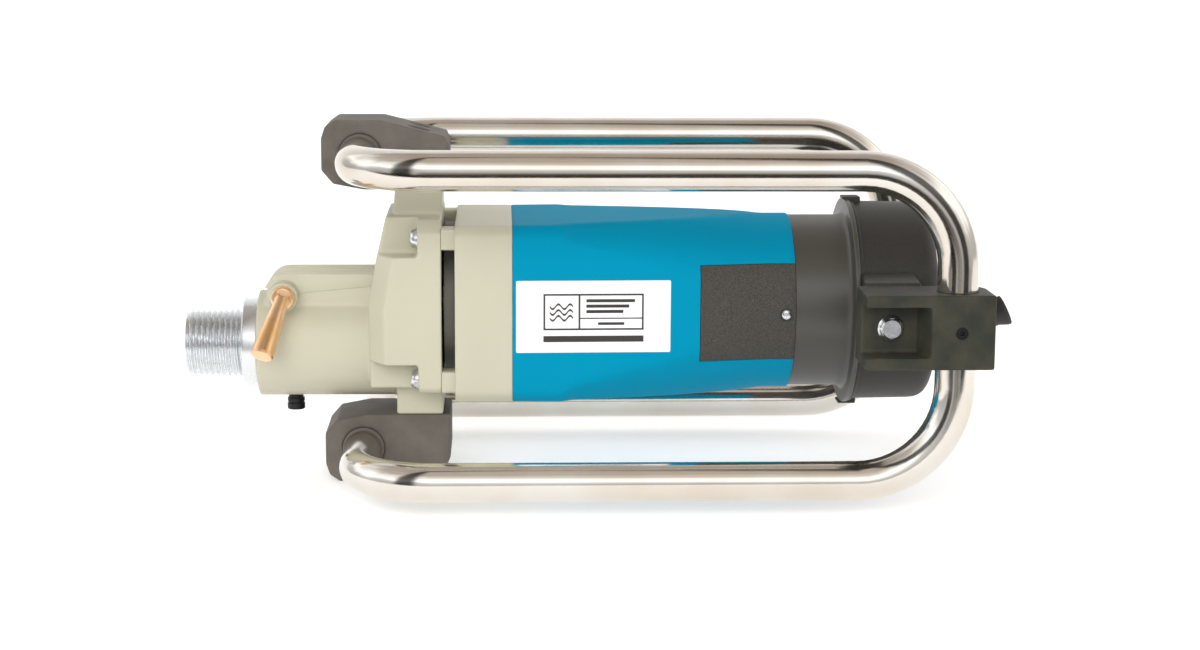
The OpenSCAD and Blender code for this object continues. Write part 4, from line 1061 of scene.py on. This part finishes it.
class VIBRATOR_OT_stage(bpy.types.Operator):
    """Sets up the floor, the lights and the camera"""

    bl_idname = "vibrator.stage"
    bl_label = "Stage"

    def execute(self, context):
        look = context.scene.vibrator_stage
        self.floor(tuple(look.floor))
        self.sky(context.scene)
        aim_at = Vector((-0.0017, 0, 0.0798))
        area_light("key", (-0.5, -1.75, 0.75), aim_at, (1.5, 1.1), 22)
        area_light("fill", (1.2, -1.5, 0.9), aim_at, (1.1, 1.0), 7)
        area_light("top", (0.1, 0.5, 1.9), aim_at, (1.8, 1.2), 2)
        camera = bpy.data.cameras.new("camera")
        camera.lens, camera.sensor_width = 67.1, 36
        view = bpy.data.objects.new("camera", camera)
        back = Vector((math.sin(look.azimuth) * math.cos(look.elevation),
                       -math.cos(look.azimuth) * math.cos(look.elevation), math.sin(look.elevation)))
        view.location = aim_at + back * look.distance
        turn = (-back).to_track_quat("-Z", "Y").to_matrix() @ Matrix.Rotation(math.radians(0.3), 3, "Z")
        view.rotation_euler = turn.to_euler()
        context.scene.collection.objects.link(view)
        context.scene.camera = view
        context.scene.view_settings.view_transform = "Standard"
        return {"FINISHED"}

    def floor(self, tint):
        """A pale sweep: flat under the unit and curved up far behind it."""
        profile = fillet([(-0.36, 0.0), (2.2, 0.0, 1.4), (2.2, 4.0)], 1.4, 24)
        points = [(x, y, z - 0.0003) for y, z in profile for x in (-2.5, 2.5)]
        faces = [(2 * i, 2 * i + 1, 2 * i + 3, 2 * i + 2) for i in range(len(profile) - 1)]
        mesh = bpy.data.meshes.new("floor")
        mesh.from_pydata(points, [], faces)
        mesh.shade_smooth()
        paper = finish("floor", tint, 0.8, gloss=0.1)
        shader = paper.node_tree.nodes["Principled BSDF"]
        shader.inputs["Emission Color"].default_value = (1, 1, 1, 1)
        shader.inputs["Emission Strength"].default_value = 0.3
        mesh.materials.append(paper)
        add_object("floor", mesh)

    def sky(self, scene):
        """White for the camera, and for the metal a studio with dark bands between its soft boxes."""
        world = bpy.data.worlds.new("studio")
        world.use_nodes = True
        nodes, links = world.node_tree.nodes, world.node_tree.links

        def ramp(source, stops):
            node = nodes.new("ShaderNodeValToRGB")
            bar = node.color_ramp
            while len(bar.elements) < len(stops):
                bar.elements.new(0.5)
            for element, (position, tone) in zip(bar.elements, stops):
                element.position = position
                element.color = (*(tone if isinstance(tone, tuple) else (tone,) * 3), 1)
            links.new(source, node.inputs["Fac"])
            return node.outputs["Color"]

        def maths(operation, first, second):
            node = nodes.new("ShaderNodeMath")
            node.operation = operation
            for socket, value in zip(node.inputs, (first, second)):
                if isinstance(value, float):
                    socket.default_value = value
                else:
                    links.new(value, socket)
            return node.outputs["Value"]

        place = nodes.new("ShaderNodeTexCoord").outputs["Generated"]
        split = nodes.new("ShaderNodeSeparateXYZ")
        links.new(place, split.inputs["Vector"])
        streak = nodes.new("ShaderNodeTexNoise")
        streak.inputs["Scale"].default_value = 2.6
        streak.inputs["Detail"].default_value = 3
        links.new(place, streak.inputs["Vector"])
        rise = maths("ADD", maths("MULTIPLY", split.outputs["Z"], 0.5), 0.5)
        wave = maths("MULTIPLY", maths("SUBTRACT", streak.outputs["Fac"], 0.5), 0.30)
        tan, dusk = (0.30, 0.25, 0.19), (0.03, 0.026, 0.024)
        stops = [(0.0, tan), (0.14, (0.34, 0.30, 0.25)), (0.23, dusk), (0.35, dusk), (0.45, 0.32),
                 (0.58, 0.42), (0.69, 1.0), (0.78, 0.75), (0.89, (0.38, 0.35, 0.32)),
                 (1.0, (0.26, 0.23, 0.20))]
        height = ramp(maths("ADD", rise, wave), stops)
        around = maths("ADD", maths("MULTIPLY", maths("ARCTAN2", split.outputs["Y"], split.outputs["X"]),
                                    1 / (2 * math.pi)), 0.5)
        sides = ramp(around, [(0.0, 0.8), (0.115, 0.9), (0.13, 0.1), (0.18, 0.08), (0.20, 1.0), (0.30, 1.0),
                              (0.315, 0.08), (0.38, 0.1), (0.40, 0.9), (1.0, 0.8)])
        both = nodes.new("ShaderNodeMix")
        both.data_type, both.blend_type = "RGBA", "MULTIPLY"
        both.inputs["Factor"].default_value = 1.0
        links.new(height, both.inputs["A"])
        links.new(sides, both.inputs["B"])
        seen = nodes.new("ShaderNodeLightPath").outputs["Is Camera Ray"]
        choice = nodes.new("ShaderNodeMix")
        choice.data_type = "RGBA"
        links.new(seen, choice.inputs["Factor"])
        links.new(both.outputs["Result"], choice.inputs["A"])
        choice.inputs["B"].default_value = (1, 1, 1, 1)
        links.new(choice.outputs["Result"], nodes["Background"].inputs["Color"])
        nodes["Background"].inputs["Strength"].default_value = 2.0
        scene.world = world


class VIBRATOR_PT_panel(bpy.types.Panel):
    """Lists the build steps of the drive unit"""

    bl_idname = "VIBRATOR_PT_panel"
    bl_label = "Concrete Vibrator"
    bl_space_type = "VIEW_3D"
    bl_region_type = "UI"
    bl_category = "Vibrator"

    def draw(self, context):
        for step in STEPS:
            self.layout.operator(step.bl_idname)
        for group in ("vibrator_casting", "vibrator_housing", "vibrator_metal", "vibrator_stage"):
            settings = getattr(context.scene, group)
            for name in settings.bl_rna.properties.keys():
                if name not in ("rna_type", "name"):
                    self.layout.prop(settings, name)


GROUPS = {"vibrator_casting": CastingLook, "vibrator_housing": HousingLook,
          "vibrator_metal": MetalLook, "vibrator_stage": StageLook}
STEPS = (VIBRATOR_OT_drive_line, VIBRATOR_OT_gearcase, VIBRATOR_OT_fan_housing, VIBRATOR_OT_motor_housing,
         VIBRATOR_OT_rear_end, VIBRATOR_OT_connector, VIBRATOR_OT_lock_lever, VIBRATOR_OT_tube_frame,
         VIBRATOR_OT_clamps, VIBRATOR_OT_fasteners, VIBRATOR_OT_stage)


def register():
    for group in GROUPS.values():
        bpy.utils.register_class(group)
    for name, group in GROUPS.items():
        setattr(bpy.types.Scene, name, PointerProperty(type=group))
    for item in (*STEPS, VIBRATOR_PT_panel):
        bpy.utils.register_class(item)


def unregister():
    for item in reversed((*STEPS, VIBRATOR_PT_panel)):
        bpy.utils.unregister_class(item)
    for name, group in GROUPS.items():
        delattr(bpy.types.Scene, name)
        bpy.utils.unregister_class(group)


def main():
    register()
    make_finishes(bpy.context.scene)
    for step in STEPS:
        family, name = step.bl_idname.split(".")
        getattr(getattr(bpy.ops, family), name)()


if __name__ == "__main__":
    main()
